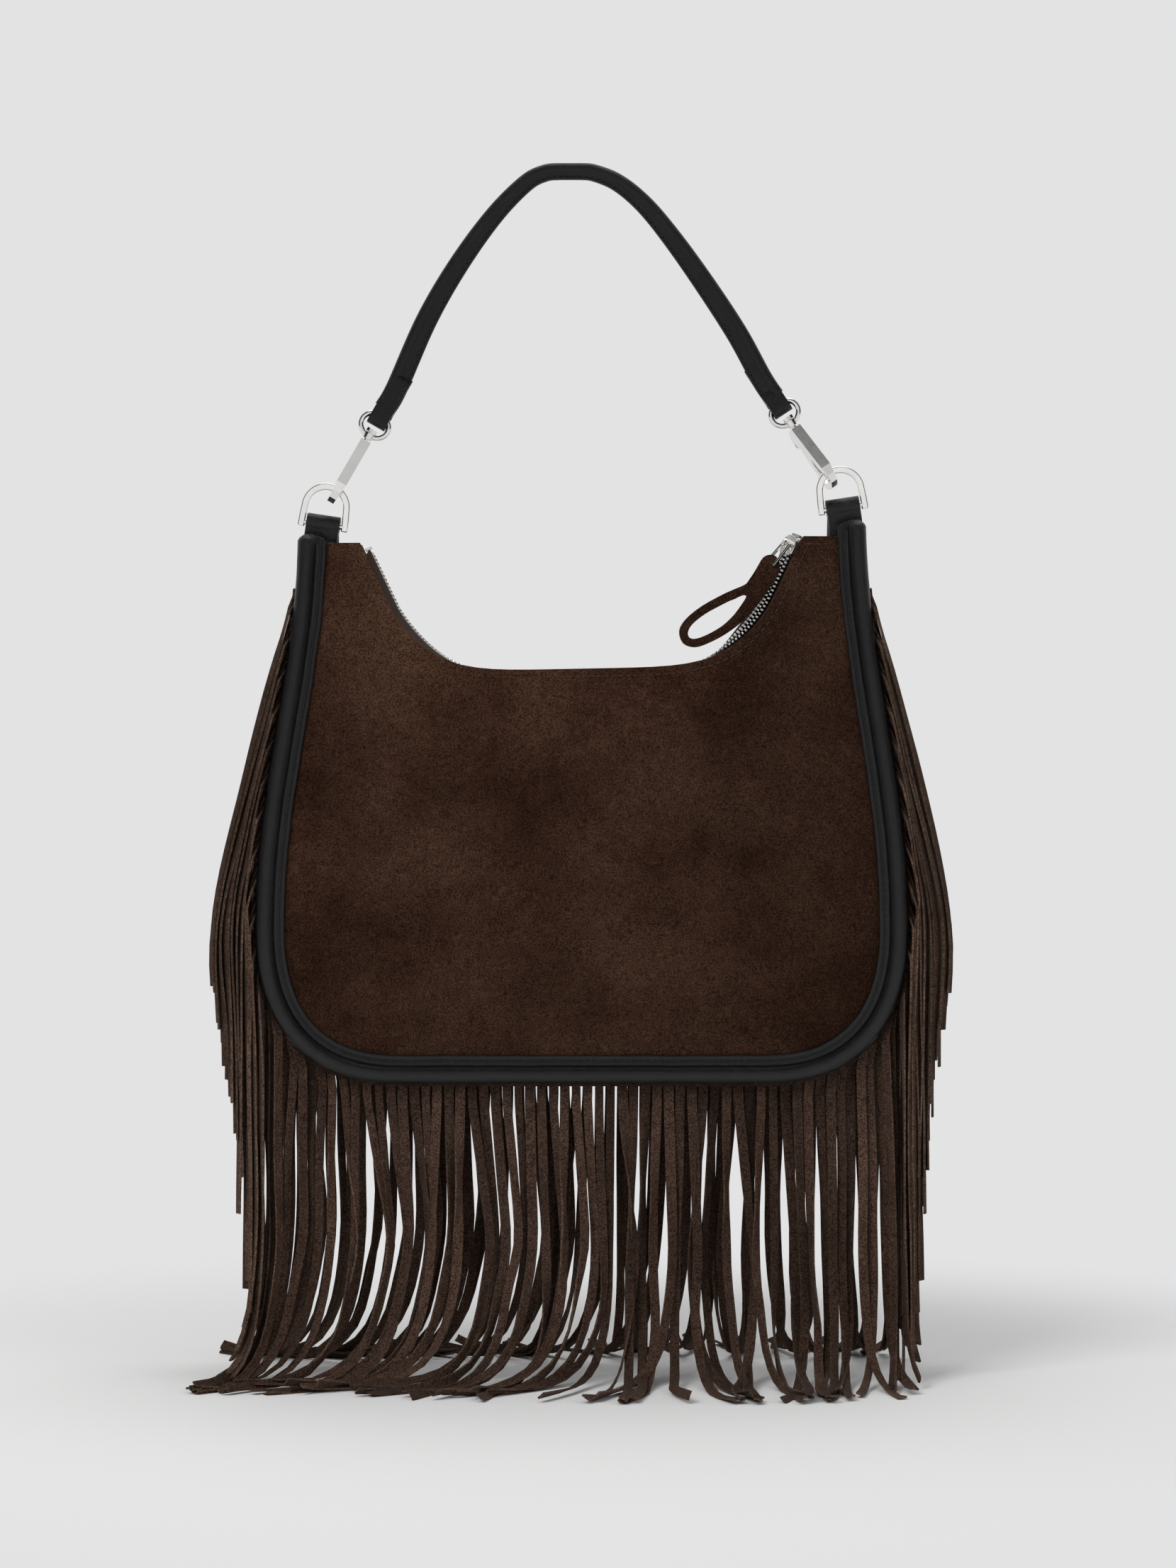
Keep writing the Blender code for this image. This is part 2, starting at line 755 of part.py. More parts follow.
def plate(corners, low, high, bm=None):
    """A flat plate with the given outline between two heights."""
    return loft([[Vector((x, y, z)) for x, y in corners] for z in (low, high)], bm)


def make_slider():
    """Two plates on a neck between the rows, side walls with a slot for each tape, and a lug."""
    half = SLIDER_LENGTH / 2
    wide = SLIDER_HALF_W
    outline = [(-half, -0.6 * wide), (-half + 1.5 * MM, -wide), (half, -0.85 * wide)]
    outline += [(half, 0.85 * wide), (-half + 1.5 * MM, wide), (-half, 0.6 * wide)]
    top = plate(outline, SLIDER_HALF_T - SLIDER_PLATE, SLIDER_HALF_T)
    slider = add_object("zip_slider", top, "nickel")
    low = plate(outline, -SLIDER_HALF_T, SLIDER_PLATE - SLIDER_HALF_T)
    neck_at = -half + 2.4 * MM
    neck = [(neck_at - 1.6 * MM, -NECK_T / 2), (neck_at + 1.6 * MM, -NECK_T / 2)]
    neck += [(neck_at + 1.6 * MM, NECK_T / 2), (neck_at - 1.6 * MM, NECK_T / 2)]
    middle = SLIDER_HALF_T - SLIDER_PLATE / 2
    pieces = [("slider_low", low), ("slider_neck", plate(neck, -middle, middle))]
    for way in (-1, 1):
        wall = [(-half + 2 * MM, way * (wide - 0.75 * MM)), (half - 1 * MM, way * (wide - 0.75 * MM))]
        wall += [(half - 1 * MM, way * (wide - 0.1 * MM)), (-half + 2 * MM, way * (wide - 0.1 * MM))]
        pieces.append((f"slider_wall_{way}", plate(wall, 0.75 * MM, middle)))
        pieces.append((f"slider_sill_{way}", plate(wall, -middle, -0.75 * MM)))
    lug_r = 2.3 * MM
    lug_z = SLIDER_HALF_T + LUG_H - lug_r
    lug = [(lug_r, SLIDER_HALF_T - 0.3 * MM)]
    lug += [(lug_r * math.cos(math.pi * k / 6), lug_z + lug_r * math.sin(math.pi * k / 6)) for k in range(7)]
    lug.append((-lug_r, SLIDER_HALF_T - 0.3 * MM))
    rings = [[Vector((x, y, z)) for x, z in lug] for y in (-LUG_T / 2, LUG_T / 2)]
    pieces.append(("slider_lug", loft(rings)))
    for name, bm in pieces:
        helper = add_object(name, bm, "nickel", helper=True)
        helper.parent = slider
        boolean(slider, "UNION", helper)
    hole = rod(Vector((0, -3 * MM, lug_z)), Vector((0, 3 * MM, lug_z)), LUG_HOLE_R)
    cutter = add_object("slider_hole", hole, "nickel", helper=True)
    cutter.parent = slider
    boolean(slider, "DIFFERENCE", cutter)
    slider.matrix_world = slider_frame()
    return slider_frame() @ Vector((0, 0, lug_z))


def pull_frame(pin):
    """The pull's axes: origin on its pin, x towards the suede loop, y along the pin."""
    frame = slider_frame()
    pin_axis = (frame.to_3x3() @ Vector((0, 1, 0))).normalized()
    down = Vector((-0.62, -0.2, -0.76))
    down = (down - pin_axis * down.dot(pin_axis)).normalized()
    normal = down.cross(pin_axis)
    turn = Matrix((down, pin_axis, normal)).transposed().to_4x4()
    return Matrix.Translation(pin) @ turn


def make_pull(frame):
    """A closed wire link through the slider's lug, pointed at its far end."""
    half = LUG_T / 2 + PULL_WIRE_R + 0.5 * MM
    path = [(0, -half), (PULL_LENGTH, -PULL_END_HALF), (PULL_LENGTH, PULL_END_HALF), (0, half)]
    rings = []
    for k, (x, y) in enumerate(path):
        before, after = Vector(path[k - 1]), Vector(path[(k + 1) % len(path)])
        here = Vector((x, y))
        bisector = ((here - before).normalized() - (after - here).normalized()).normalized()
        turn = (here - before).normalized().dot((after - here).normalized())
        grow = 1 / math.sqrt((1 + turn) / 2)
        rings.append(
            [
                Vector((x + bisector.x * a * grow, y + bisector.y * a * grow, b))
                for a, b in circle(PULL_WIRE_R, 6, start=math.pi / 6)
            ]
        )
    link = add_object("zip_pull", torus(rings), "nickel")
    link.matrix_world = frame
    return frame @ Vector((PULL_LENGTH, 0, 0))


def make_puller_loop(frame, eye):
    """The suede loop on the link: a flat head with a hole, and two strands round a window."""
    outer = [
        (3.2, 2.4), (0.6, 3.9), (-3.3, 2.6), (-6.2, -2.4), (-9.6, -8.6), (-20.5, -13.7), (-31.2, -19.6),
        (-38.6, -25.6), (-41.6, -31.0), (-39.8, -36.6), (-34.5, -38.4), (-28.5, -36.6), (-20.5, -32.4),
        (-12.4, -26.3), (-5.4, -18.6), (-0.4, -11.6), (3.2, -6.0), (4.4, -1.4),
    ]
    window = [
        (-11.0, -14.9), (-12.0, -14.6), (-13.2, -14.9), (-15.4, -15.9), (-18.4, -17.2), (-22.6, -19.3),
        (-29.8, -23.3), (-35.6, -28.0), (-37.6, -31.8), (-36.6, -34.2), (-33.6, -34.4), (-28.4, -32.4),
        (-22.4, -28.9), (-18.2, -25.2), (-15.4, -22.0), (-13.0, -18.6), (-11.8, -16.8), (-11.2, -15.7),
    ]
    tip = frame.to_3x3() @ Vector((0, 1, 0))

    def place(x, z, y):
        return Vector((x * MM, y + x * MM * LOOP_LEAN, z * MM))

    bm = hollow_prism(outer, window, place, -LOOP_T / 2, LOOP_T / 2)
    loop = add_object("puller_loop", bm, "suede", smooth=50)
    hole = rod(tip * -6 * MM, tip * 6 * MM, LOOP_HOLE_R)
    drill = add_object("puller_hole", hole, "suede", helper=True)
    drill.parent = loop
    boolean(loop, "DIFFERENCE", drill)
    loop.location = eye


def ring_frame(side):
    """The D-ring's axes at the middle of its bar, tilted towards the strap's pull."""
    x, z = BAR_AT[side]
    return Matrix.Translation(bag_point(x, 0, z)) @ Matrix.Rotation(RING_TILT[side], 4, "Y")


def seat_point(side):
    """The middle of the D-ring's band where the hook holds it."""
    angle = SEAT_ANGLE[side]
    spot = Vector((RING_ARC_R * math.sin(angle), 0, RING_ARC_Z + RING_ARC_R * math.cos(angle)))
    return ring_frame(side) @ spot


def make_d_ring(name, side):
    """A square band bent to an arch over a round bar, its feet reaching just below the bar."""
    path = [(-RING_HALF_W, -RING_FOOT)]
    for k in range(11):
        angle = math.pi * (1 - k / 10)
        path.append((RING_ARC_R * math.cos(angle), RING_ARC_Z + RING_ARC_R * math.sin(angle)))
    path.append((RING_HALF_W, -RING_FOOT))
    rings = []
    for k, (x, z) in enumerate(path):
        before, after = path[max(k - 1, 0)], path[min(k + 1, len(path) - 1)]
        along = Vector((after[0] - before[0], 0, after[1] - before[1])).normalized()
        out = Vector((-along.z, 0, along.x))
        if k in (0, len(path) - 1):
            out = Vector((math.copysign(1, x), 0, 0))
        a, b = out * RING_BAND / 2, Vector((0, RING_DEPTH / 2, 0))
        place = Vector((x, 0, z))
        rings.append([place - a - b, place + a - b, place + a + b, place - a + b])
    ring = add_object(name, loft(rings), "nickel")
    bar = rod(Vector((-RING_HALF_W, 0, 0)), Vector((RING_HALF_W, 0, 0)), BAR_R, 10)
    helper = add_object(name + "_bar", bar, "nickel", helper=True)
    helper.parent = ring
    boolean(ring, "UNION", helper)
    ring.matrix_world = ring_frame(side)


def make_tab(name, side):
    """Leather folded over the D-ring's bar, its end held between the two pipings."""
    count = 16
    outer_r = BAR_HOLE_R + TAB_LEATHER
    bar_x, bar_z = BAR_AT[side]
    end = TAB_END_Z - bar_z
    outer = []
    for k in range(count - 4):
        angle = mix(-0.15 * math.pi, 1.15 * math.pi, k / (count - 5))
        outer.append((outer_r * math.cos(angle), outer_r * math.sin(angle)))
    neck = -outer_r - 3.5 * MM
    outer += [(-TAB_HALF_T, neck), (-TAB_HALF_T, end), (TAB_HALF_T, end), (TAB_HALF_T, neck)]
    inner = []
    for k in range(count):
        angle = math.atan2(outer[k][1], outer[k][0])
        inner.append((BAR_HOLE_R * math.cos(angle), BAR_HOLE_R * math.sin(angle)))
    for k in range(4):
        angle = mix(1.2 * math.pi, 1.8 * math.pi, k / 3)
        inner[count - 4 + k] = (BAR_HOLE_R * math.cos(angle), BAR_HOLE_R * math.sin(angle))

    def place(y, z, x):
        lean = RING_TILT[side] * clamp((z - end) / (neck - end))
        across = x * math.cos(lean) + z * math.sin(lean)
        return bag_point(bar_x + across, y, bar_z + z * math.cos(lean) - x * math.sin(lean))

    bm = hollow_prism(outer, inner, place, -TAB_W / 2, TAB_W / 2)
    return add_object(name, bm, "piping_leather", smooth=50)


def hook_frame(side, eye):
    """The hook's axes at the top of its body: x to its spine, y through it, z up to the eye ring."""
    seat = seat_point(side)
    up = (eye - seat).normalized()
    flat_right = Vector((0, 1, 0)).cross(up).normalized()
    turn = HOOK_TURN[side]
    spine = flat_right * math.cos(turn) + Vector((0, -1, 0)) * math.sin(turn)
    through = up.cross(spine)
    axes = Matrix((spine, through, up)).transposed().to_4x4()
    origin = seat + up * SEAT_W - spine * SEAT_U
    return Matrix.Translation(origin) @ axes


def make_hook(name, frame):
    """A flat snap hook: body with a forked corner, slanted spine, thinner nose and swivel post."""
    rings = []
    for way in (-1, 1):
        ring = []
        for u, w in HOOK_OUTLINE:
            thick = NOSE_T if w * MM > NOSE_FROM else HOOK_T
            ring.append(Vector((u * MM, way * thick / 2, -w * MM)))
        rings.append(ring)
    hook = add_object(name, loft(rings), "nickel")
    slot_w = TONGUE_T / 2 + CLEAR
    slot = [(-9 * MM, -slot_w), (GATE_U + 1.9 * MM, -slot_w), (GATE_U + 1.9 * MM, slot_w), (-9 * MM, slot_w)]
    cut = plate(slot, -12 * MM, -(PIVOT_W - 1.9 * MM))
    cutter = add_object(name + "_slot", cut, "nickel", helper=True)
    pivot = Vector((GATE_U, 0, -PIVOT_W))
    across = Vector((0, 4 * MM, 0))
    drill = rod(pivot - across, pivot + across, PIN_R + CLEAR)
    hole = add_object(name + "_hole", drill, "nickel", helper=True)
    post_top = CLEAR + 2 * BOSS_HALF_H + CLEAR
    post = rod(Vector((0, 0, -1 * MM)), Vector((0, 0, post_top + HEAD_H / 2)), POST_R, 10)
    stem = add_object(name + "_post", post, "nickel", helper=True)
    cap = rod(Vector((0, 0, post_top)), Vector((0, 0, post_top + HEAD_H)), HEAD_R, 10)
    head = add_object(name + "_head", cap, "nickel", helper=True)
    for helper, operation in ((cutter, "DIFFERENCE"), (hole, "DIFFERENCE"), (stem, "UNION"), (head, "UNION")):
        helper.parent = hook
        boolean(hook, operation, helper)
    hook.matrix_world = frame


def make_gate(name, hook):
    """The sprung gate, a round bar with a flat tongue, and the pin it turns on."""
    frame = hook @ Matrix.Translation(Vector((GATE_U, 0, -PIVOT_W)))
    bar = rod(Vector((0, 0, -3.4 * MM)), Vector((0, 0, PIVOT_W - GATE_END_W)), GATE_R, 10)
    gate = add_object(name, bar, "nickel")
    tongue_r = 1.4 * MM
    outline = [(tongue_r, -4.2 * MM)]
    for k in range(7):
        angle = math.pi * k / 6
        outline.append((tongue_r * math.cos(angle), tongue_r * math.sin(angle)))
    outline.append((-tongue_r, -4.2 * MM))
    rings = [[Vector((x, y, z)) for x, z in outline] for y in (-TONGUE_T / 2, TONGUE_T / 2)]
    tongue = add_object(name + "_tongue", loft(rings), "nickel", helper=True)
    across = Vector((0, 3 * MM, 0))
    bore = rod(-across, across, PIN_R + 0.1 * MM)
    drill = add_object(name + "_eye", bore, "nickel", helper=True)
    for helper, operation in ((tongue, "UNION"), (drill, "DIFFERENCE")):
        helper.parent = gate
        boolean(gate, operation, helper)
    gate.matrix_world = frame
    half = Vector((0, HOOK_T / 2, 0))
    pin = add_object(name + "_pin", rod(-half, half, PIN_R), "nickel")
    pin.matrix_world = frame


def eye_frame(hook):
    """The eye ring's axes at its centre: z along the hook, the ring facing the front."""
    up = hook.to_3x3() @ Vector((0, 0, 1))
    boss_low = CLEAR
    centre = hook.translation + up * (boss_low + BOSS_HALF_H + EYE_HALF_H)
    right = Vector((0, 1, 0)).cross(up).normalized()
    through = up.cross(right)
    axes = Matrix((right, through, up)).transposed().to_4x4()
    return Matrix.Translation(centre) @ axes


def make_eye_ring(name, frame):
    """An oval wire ring with a bored boss for the swivel post."""
    rings = []
    count = 16
    for k in range(count):
        angle = 2 * math.pi * (k + 0.5) / count
        place = Vector((EYE_HALF_W * math.sin(angle), 0, EYE_HALF_H * math.cos(angle)))
        out = Vector((math.sin(angle) / EYE_HALF_W, 0, math.cos(angle) / EYE_HALF_H)).normalized()
        side = Vector((0, 1, 0))
        rings.append([place + out * a + side * b for a, b in circle(EYE_WIRE_R, 6)])
    ring = add_object(name, torus(rings), "nickel", smooth=70)
    low = -EYE_HALF_H - BOSS_HALF_H
    high = -EYE_HALF_H + BOSS_HALF_H
    boss = add_object(name + "_boss", rod(Vector((0, 0, low)), Vector((0, 0, high)), BOSS_R, 10), "nickel", helper=True)
    bore = rod(Vector((0, 0, low - MM)), Vector((0, 0, high + MM)), POST_R + 0.2 * MM, 10)
    drill = add_object(name + "_bore", bore, "nickel", helper=True)
    for helper, operation in ((boss, "UNION"), (drill, "DIFFERENCE")):
        helper.parent = ring
        boolean(ring, operation, helper)
    ring.matrix_world = frame


def spline(points, steps):
    """A smooth line through points, with steps between each pair."""
    line = []
    for k in range(len(points) - 1):
        a = points[max(k - 1, 0)]
        b, c = points[k], points[k + 1]
        d = points[min(k + 2, len(points) - 1)]
        for i in range(steps):
            t = i / steps
            near, far = (c - a) / 2, (d - b) / 2
            t2, t3 = t * t, t * t * t
            line.append(
                b * (2 * t3 - 3 * t2 + 1) + near * (t3 - 2 * t2 + t) + c * (3 * t2 - 2 * t3) + far * (t3 - t2)
            )
    line.append(points[-1])
    return line


def strap_section(height):
    """The strap's section as (off the crown's side, across): a roll outside, a flange inside."""
    roll_at = height / 2 - STRAP_ROLL_R
    lap = math.asin(STRAP_FLANGE_T / 2 / STRAP_ROLL_R)
    points = [(-height / 2, STRAP_FLANGE_T / 2)]
    for k in range(7):
        angle = mix(math.pi - lap, lap - math.pi, k / 6)
        points.append((roll_at + STRAP_ROLL_R * math.cos(angle), STRAP_ROLL_R * math.sin(angle)))
    points.append((-height / 2, -STRAP_FLANGE_T / 2))
    return points


def fold_helper(name, end, away, side):
    """The strap's end folded through the eye ring, its free end lying back on the strap."""
    across = Vector((0, 1, 0))
    count = 16
    wall = FOLD_HOLE_R + FOLD_LEATHER
    inner = []
    for k in range(count):
        angle = -math.pi / 2 + 2 * math.pi * k / count
        a = FOLD_HOLE_R * math.cos(angle) + (FOLD_SLOT if math.cos(angle) > 0.01 else 0)
        inner.append((a, FOLD_HOLE_R * math.sin(angle)))
    outer = []
    for k in range(9):
        angle = mix(-math.pi / 2, math.pi / 2, k / 8)
        outer.append((FOLD_SLOT + wall * math.cos(angle), wall * math.sin(angle)))
    lap = STRAP_ROLL_R + 0.2 * MM
    free = lap if side == LEFT else -lap
    outer += [(-4 * MM, wall), (-9 * MM, lap if side == RIGHT else 1.2 * MM)]
    outer += [(-FOLD_BACK, lap if side == RIGHT else 1.0 * MM), (-FOLD_BACK - 2 * MM, 0.0)]
    outer += [(-FOLD_BACK, -lap if side == LEFT else -1.0 * MM)]
    outer += [(-9 * MM, -lap if side == LEFT else -1.2 * MM), (-4 * MM, -wall)]
    width = Vector((away.z, 0, -away.x)) * (1 if side == LEFT else -1)
    shift = -0.4 * MM

    def place(a, y, p):
        return end + away * a + across * y + width * (p + shift)

    bm = hollow_prism(outer, inner, place, -FOLD_W / 2, FOLD_W / 2)
    return add_object(name, bm, "strap_leather", helper=True)


def make_strap(eyes):
    """The strap: one leather piece from eye ring to eye ring, flat under the crown."""
    crown = CROWN_H / 2
    ends = {}
    for side in (LEFT, RIGHT):
        up = eyes[side].to_3x3() @ Vector((0, 0, 1))
        ends[side] = (eyes[side].translation + up * EYE_HALF_H, -up)
    runs = {}
    for side, run in ((LEFT, LEFT_RUN), (RIGHT, RIGHT_RUN)):
        end, away = ends[side]
        stop = end - away * 3.4 * MM
        points = [Vector((side * CROWN_FLAT, 0, crown))]
        points += [Vector((x * MM, 0, z * MM)) for x, z in run]
        points += [end - away * 14 * MM, stop]
        runs[side] = spline(points, 2)
    line = runs[LEFT][::-1] + runs[RIGHT]
    flat = len(runs[LEFT])
    rings = []
    for k, place in enumerate(line):
        before, after = line[max(k - 1, 0)], line[min(k + 1, len(line) - 1)]
        along = (after - before).normalized()
        if k in (flat - 1, flat):
            along = Vector((1, 0, 0))
        off = Vector((-along.z, 0, along.x))
        share = smooth_step(abs(place.x) / (80 * MM))
        height = mix(CROWN_H, END_H, share) if k not in (flat - 1, flat) else CROWN_H
        rings.append([place + off * p + Vector((0, y, 0)) for p, y in strap_section(height)])
    strap = add_object("strap", loft(rings), "strap_leather", smooth=60)
    for side in (LEFT, RIGHT):
        end, away = ends[side]
        helper = fold_helper("fold_left" if side == LEFT else "fold_right", end, away, side)
        boolean(strap, "UNION", helper)


def main():
    for obj in list(bpy.data.objects):
        bpy.data.objects.remove(obj)
    for face, word in ((FRONT, "front"), (BACK, "back")):
        make_panel(word + "_panel", face)
        make_piping(word + "_piping", face)
        for part, picks in fringe_picks().items():
            make_fringe(f"{word}_fringe_{part}", face, picks)
        make_zip_row(word + "_zip_teeth", face)
        make_zip_tape(word + "_zip_tape", face)
    make_gusset()
    beyond = CLEAR / math.hypot(1, STRAIGHT_SLOPE)
    make_zip_stop("zip_top_stop", lip_end(RIGHT) - ROWS_END[RIGHT] + beyond, STOP_LENGTH)
    make_zip_stop("zip_bottom_stop", ROWS_END[LEFT] - lip_end(LEFT) - beyond, -STOP_LENGTH)
    pin = make_slider()
    frame = pull_frame(pin)
    eye = make_pull(frame)
    make_puller_loop(frame, eye)
    eyes = {}
    rough_eye = {LEFT: Vector((-89.6, 0, -113)) * MM, RIGHT: Vector((98.1, 0, -106.5)) * MM}
    for side, word in ((LEFT, "left"), (RIGHT, "right")):
        make_tab(word + "_tab", side)
        make_d_ring(word + "_d_ring", side)
        frame = hook_frame(side, rough_eye[side])
        make_hook(word + "_hook", frame)
        make_gate(word + "_gate", frame)
        eyes[side] = eye_frame(frame)
        make_eye_ring(word + "_eye_ring", eyes[side])
    make_strap(eyes)


main()
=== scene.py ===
"""Looks of the fringed suede bag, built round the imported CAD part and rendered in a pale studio.

Everything is in metres in the part's own frame: the origin is under the strap's crown, +X is to
the right, -Y to the front and +Z up. Bag heights count from the underside of the bottom piping.
"""
import math
import random

import bmesh
import bpy
from mathutils import Matrix, Vector, noise


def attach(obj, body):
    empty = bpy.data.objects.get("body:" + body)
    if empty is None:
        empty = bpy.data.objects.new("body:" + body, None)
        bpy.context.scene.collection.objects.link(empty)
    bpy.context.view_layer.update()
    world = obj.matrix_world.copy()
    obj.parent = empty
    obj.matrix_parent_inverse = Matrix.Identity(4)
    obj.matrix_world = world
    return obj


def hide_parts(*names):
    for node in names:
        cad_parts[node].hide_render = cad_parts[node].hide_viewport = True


MM = 0.001
LEFT, RIGHT = -1, 1
FRONT, BACK = -1, 1
FACE_WORD = {FRONT: "front", BACK: "back"}
SIDE_WORD = {LEFT: "left", RIGHT: "right"}

# Place, outline and depth of the bag, as in the CAD part
BAG_X = 5.4 * MM
BAG_Z = -410 * MM
FLOOR_Z = -134 * MM
TOP_HALF = 129 * MM
WIDE_HALF = 146.4 * MM
WIDE_Z = 72 * MM
CORNER_X = 80 * MM
CORNER_POWER = 2.4
TOP_Z = {LEFT: 248 * MM, RIGHT: 254.5 * MM}
TOP_DEPTH = 7.9 * MM
BOTTOM_DEPTH = 31 * MM
DEEP_Z = 40 * MM

# Piping
ROLL_R = 4.25 * MM
FLANGE_W = 4.5 * MM
FLANGE_T = 1.2 * MM
PIPING_STITCH_AT = 6.3 * MM
PIPING_END = 3.5 * MM

# Panels and lip
PANEL_T = 1.6 * MM
PANEL_BULGE = 7 * MM
BULGE_RUN = 75 * MM
PANEL_INSET = ROLL_R + 0.4 * MM
PANEL_SINK = 1.2 * MM
LAP_W = 4.9 * MM
PANEL_TOP = {LEFT: 244 * MM, RIGHT: 247 * MM}
LIP_Z = 186.5 * MM
LIP_RISE = 60 * MM
LIP_HALF = 100 * MM
LIP_POWER = 5
LIP_TILT = 0.02
STRAIGHT_X = 86 * MM
STRAIGHT_SLOPE = 2.1
LIP_STITCH_DROP = 3.6 * MM

# Fringe
STRIP_PITCH = 5.2 * MM
STRIP_W = 4.8 * MM
NARROWING = (0.74, 0.94)
STRIP_T = 0.9 * MM
STRIP_LENGTH = 185 * MM
STRIP_STACK = 1.3 * MM
STRIP_COLUMN = 5.1 * MM
FRINGE_TOP = 226 * MM
HEADER_Y = 5.15 * MM
HEADER_T = 1.2 * MM
HEADER_W = 10.0 * MM
HEADER_OUT = 5.6 * MM
REACH = 6.6 * MM
DROP = 7 * MM
HANG_OUT = 3.2 * MM
HANG_PACK = 0.07
REACH_BELOW = 11 * MM
BUNCH = 7 * MM
SWAY = 3.2 * MM
BOW = 4 * MM
BEND_LOW = 26 * MM
BEND_HIGH = 46 * MM
LAYERS = 3
STRIP_STEPS = 20

# Zip
ROW_IN = 0.35 * MM
ROW_OUT = 2.7 * MM
ROW_HALF_T = 1.4 * MM
TOOTH_PITCH = 2.0 * MM
TOOTH_LENGTH = 1.15 * MM
TAPE_FROM = 3.0 * MM
TAPE_LEDGE = 5.5 * MM
TAPE_T = 0.8 * MM
TAPE_DROP = 6 * MM
TAPE_SPREAD_FROM = 60 * MM
TAPE_SPREAD = 3.5 * MM
CHAIN_SINK = 2.0 * MM
CHAIN_RISE = 2.2 * MM
CHAIN_ROLL = math.radians(40)
ROWS_END = {LEFT: 2.0 * MM, RIGHT: 0.6 * MM}

# Strap, as in the CAD part
STRAP_ROLL_R = 2.75 * MM
STRAP_FLANGE_T = 3.0 * MM
CROWN_H = 7.7 * MM
END_H = 10.0 * MM
CROWN_FLAT = 5 * MM
EYE_HALF_H = 5.6 * MM
FOLD_HOLE_R = 1.75 * MM
FOLD_SLOT = 2.6 * MM
FOLD_LEATHER = 1.6 * MM
FOLD_W = 9.0 * MM
FOLD_BACK = 19 * MM
LEFT_RUN = [(-11.5, 3.1), (-20.2, -1.5), (-34.6, -16.2), (-50.9, -38.7), (-65.5, -64.0)]
RIGHT_RUN = [(11.0, 3.2), (21.1, -0.9), (31.7, -9.2), (42.6, -21.5), (58.0, -42.5), (75.5, -69.0)]

# Hardware
BAR_AT = {LEFT: (-118.0 * MM, 252.9 * MM), RIGHT: (119.0 * MM, 260.6 * MM)}
RING_TILT = {LEFT: math.radians(8.5), RIGHT: math.radians(-8.5)}
BAR_R = 1.35 * MM
BAR_HOLE_R = 2.8 * MM
RING_BAND = 3.1 * MM
RING_DEPTH = 2.6 * MM
RING_HALF_W = 9.95 * MM
RING_ARC_R = 9.5 * MM
RING_ARC_Z = 7.8 * MM
RING_FOOT = 2.2 * MM
SEAT_ANGLE = {LEFT: math.radians(25), RIGHT: math.radians(-35)}
SEAT_U = 0.6 * MM
SEAT_W = 26.6 * MM
HOOK_TURN = {LEFT: math.radians(84), RIGHT: math.radians(76)}
ROUGH_EYE = {LEFT: Vector((-89.6, 0, -113)) * MM, RIGHT: Vector((98.1, 0, -106.5)) * MM}
EYE_HALF_W = 6.6 * MM
EYE_WIRE_R = 1.25 * MM
BOSS_R = 2.4 * MM
BOSS_HALF_H = 1.6 * MM
TAB_W = 15.2 * MM
TAB_LEATHER = 1.5 * MM
TAB_HALF_T = 3.3 * MM
TAB_END_Z = 231 * MM
SLIDER_X = 98.0 * MM
LUG_Z = 4.2 * MM
PULL_LENGTH = 12 * MM
GUSSET_T = 1.5 * MM
GUSSET_OUT = ROLL_R - 5.4 * MM

# Thread
STITCH_PITCH = 3.0 * MM
STITCH_LENGTH = 2.4 * MM
STITCH_R = 0.28 * MM
LIP_PITCH = 3.3 * MM
PIPING_STITCH_OUT = 0.42 * MM
PIPING_STITCH_MARGIN = 4 * MM
LIP_STITCH_MARGIN = 3 * MM
STRAP_STITCH_FROM = 14 * MM
STRAP_STITCH_IN = 1.5 * MM
STRAP_STITCH_OUT = 1.3 * MM
TAB_STITCH_PITCH = 2.6 * MM
FOLD_STITCH_AT = 3.3 * MM

# Camera and room: the photograph is 1659 x 2212 pixels and shows 0.32 mm
# in each at SCALE_Y
PHOTO_W, PHOTO_H = 1659, 2212
PIXEL = 0.32 * MM
CROWN_PX = (804, 245)
CAMERA_AWAY = 1750 * MM
SCALE_Y = -18 * MM
SENSOR = 36.0
PALE_TONE = (0.768, 0.768, 0.772, 1)
SWEEP_HALF = 7.0
SWEEP_BACK = 1.6
SWEEP_R = 0.8
SWEEP_TOP = 4.0

# Kinds of the shared effects' sockets that aren't colours
SOCKET_KINDS = {
    "Place": "Vector",
    "Normal": "Vector",
    "Cells": "Float",
    "Gloss": "Float",
    "Roughness": "Float",
}

CHANCE = random.Random(11)


def clamp(value, low=0.0, high=1.0):
    return max(low, min(high, value))


def smooth_step(value):
    t = clamp(value)
    return t * t * (3 - 2 * t)


def mix(a, b, t):
    return a + (b - a) * t


def halve(high, below):
    """The largest value from 0 to high at which below still holds."""
    low = 0.0
    for _ in range(40):
        middle = (low + high) / 2
        if below(middle):
            low = middle
        else:
            high = middle
    return low


def stray(most):
    """A chance draw, at most this far from 0."""
    return CHANCE.uniform(-most, most)


def stations(low, high, count):
    return [mix(low, high, k / count) for k in range(count + 1)]


def arc(radius, start, end, steps, x=0.0, z=0.0):
    """Points on an arc round x and z."""
    angles = stations(start, end, steps)
    return [(x + radius * math.cos(angle), z + radius * math.sin(angle)) for angle in angles]


def bag_point(x, y, z):
    """A point of the bag's own frame, in the row frame."""
    return Vector((BAG_X + x, y, BAG_Z + z))


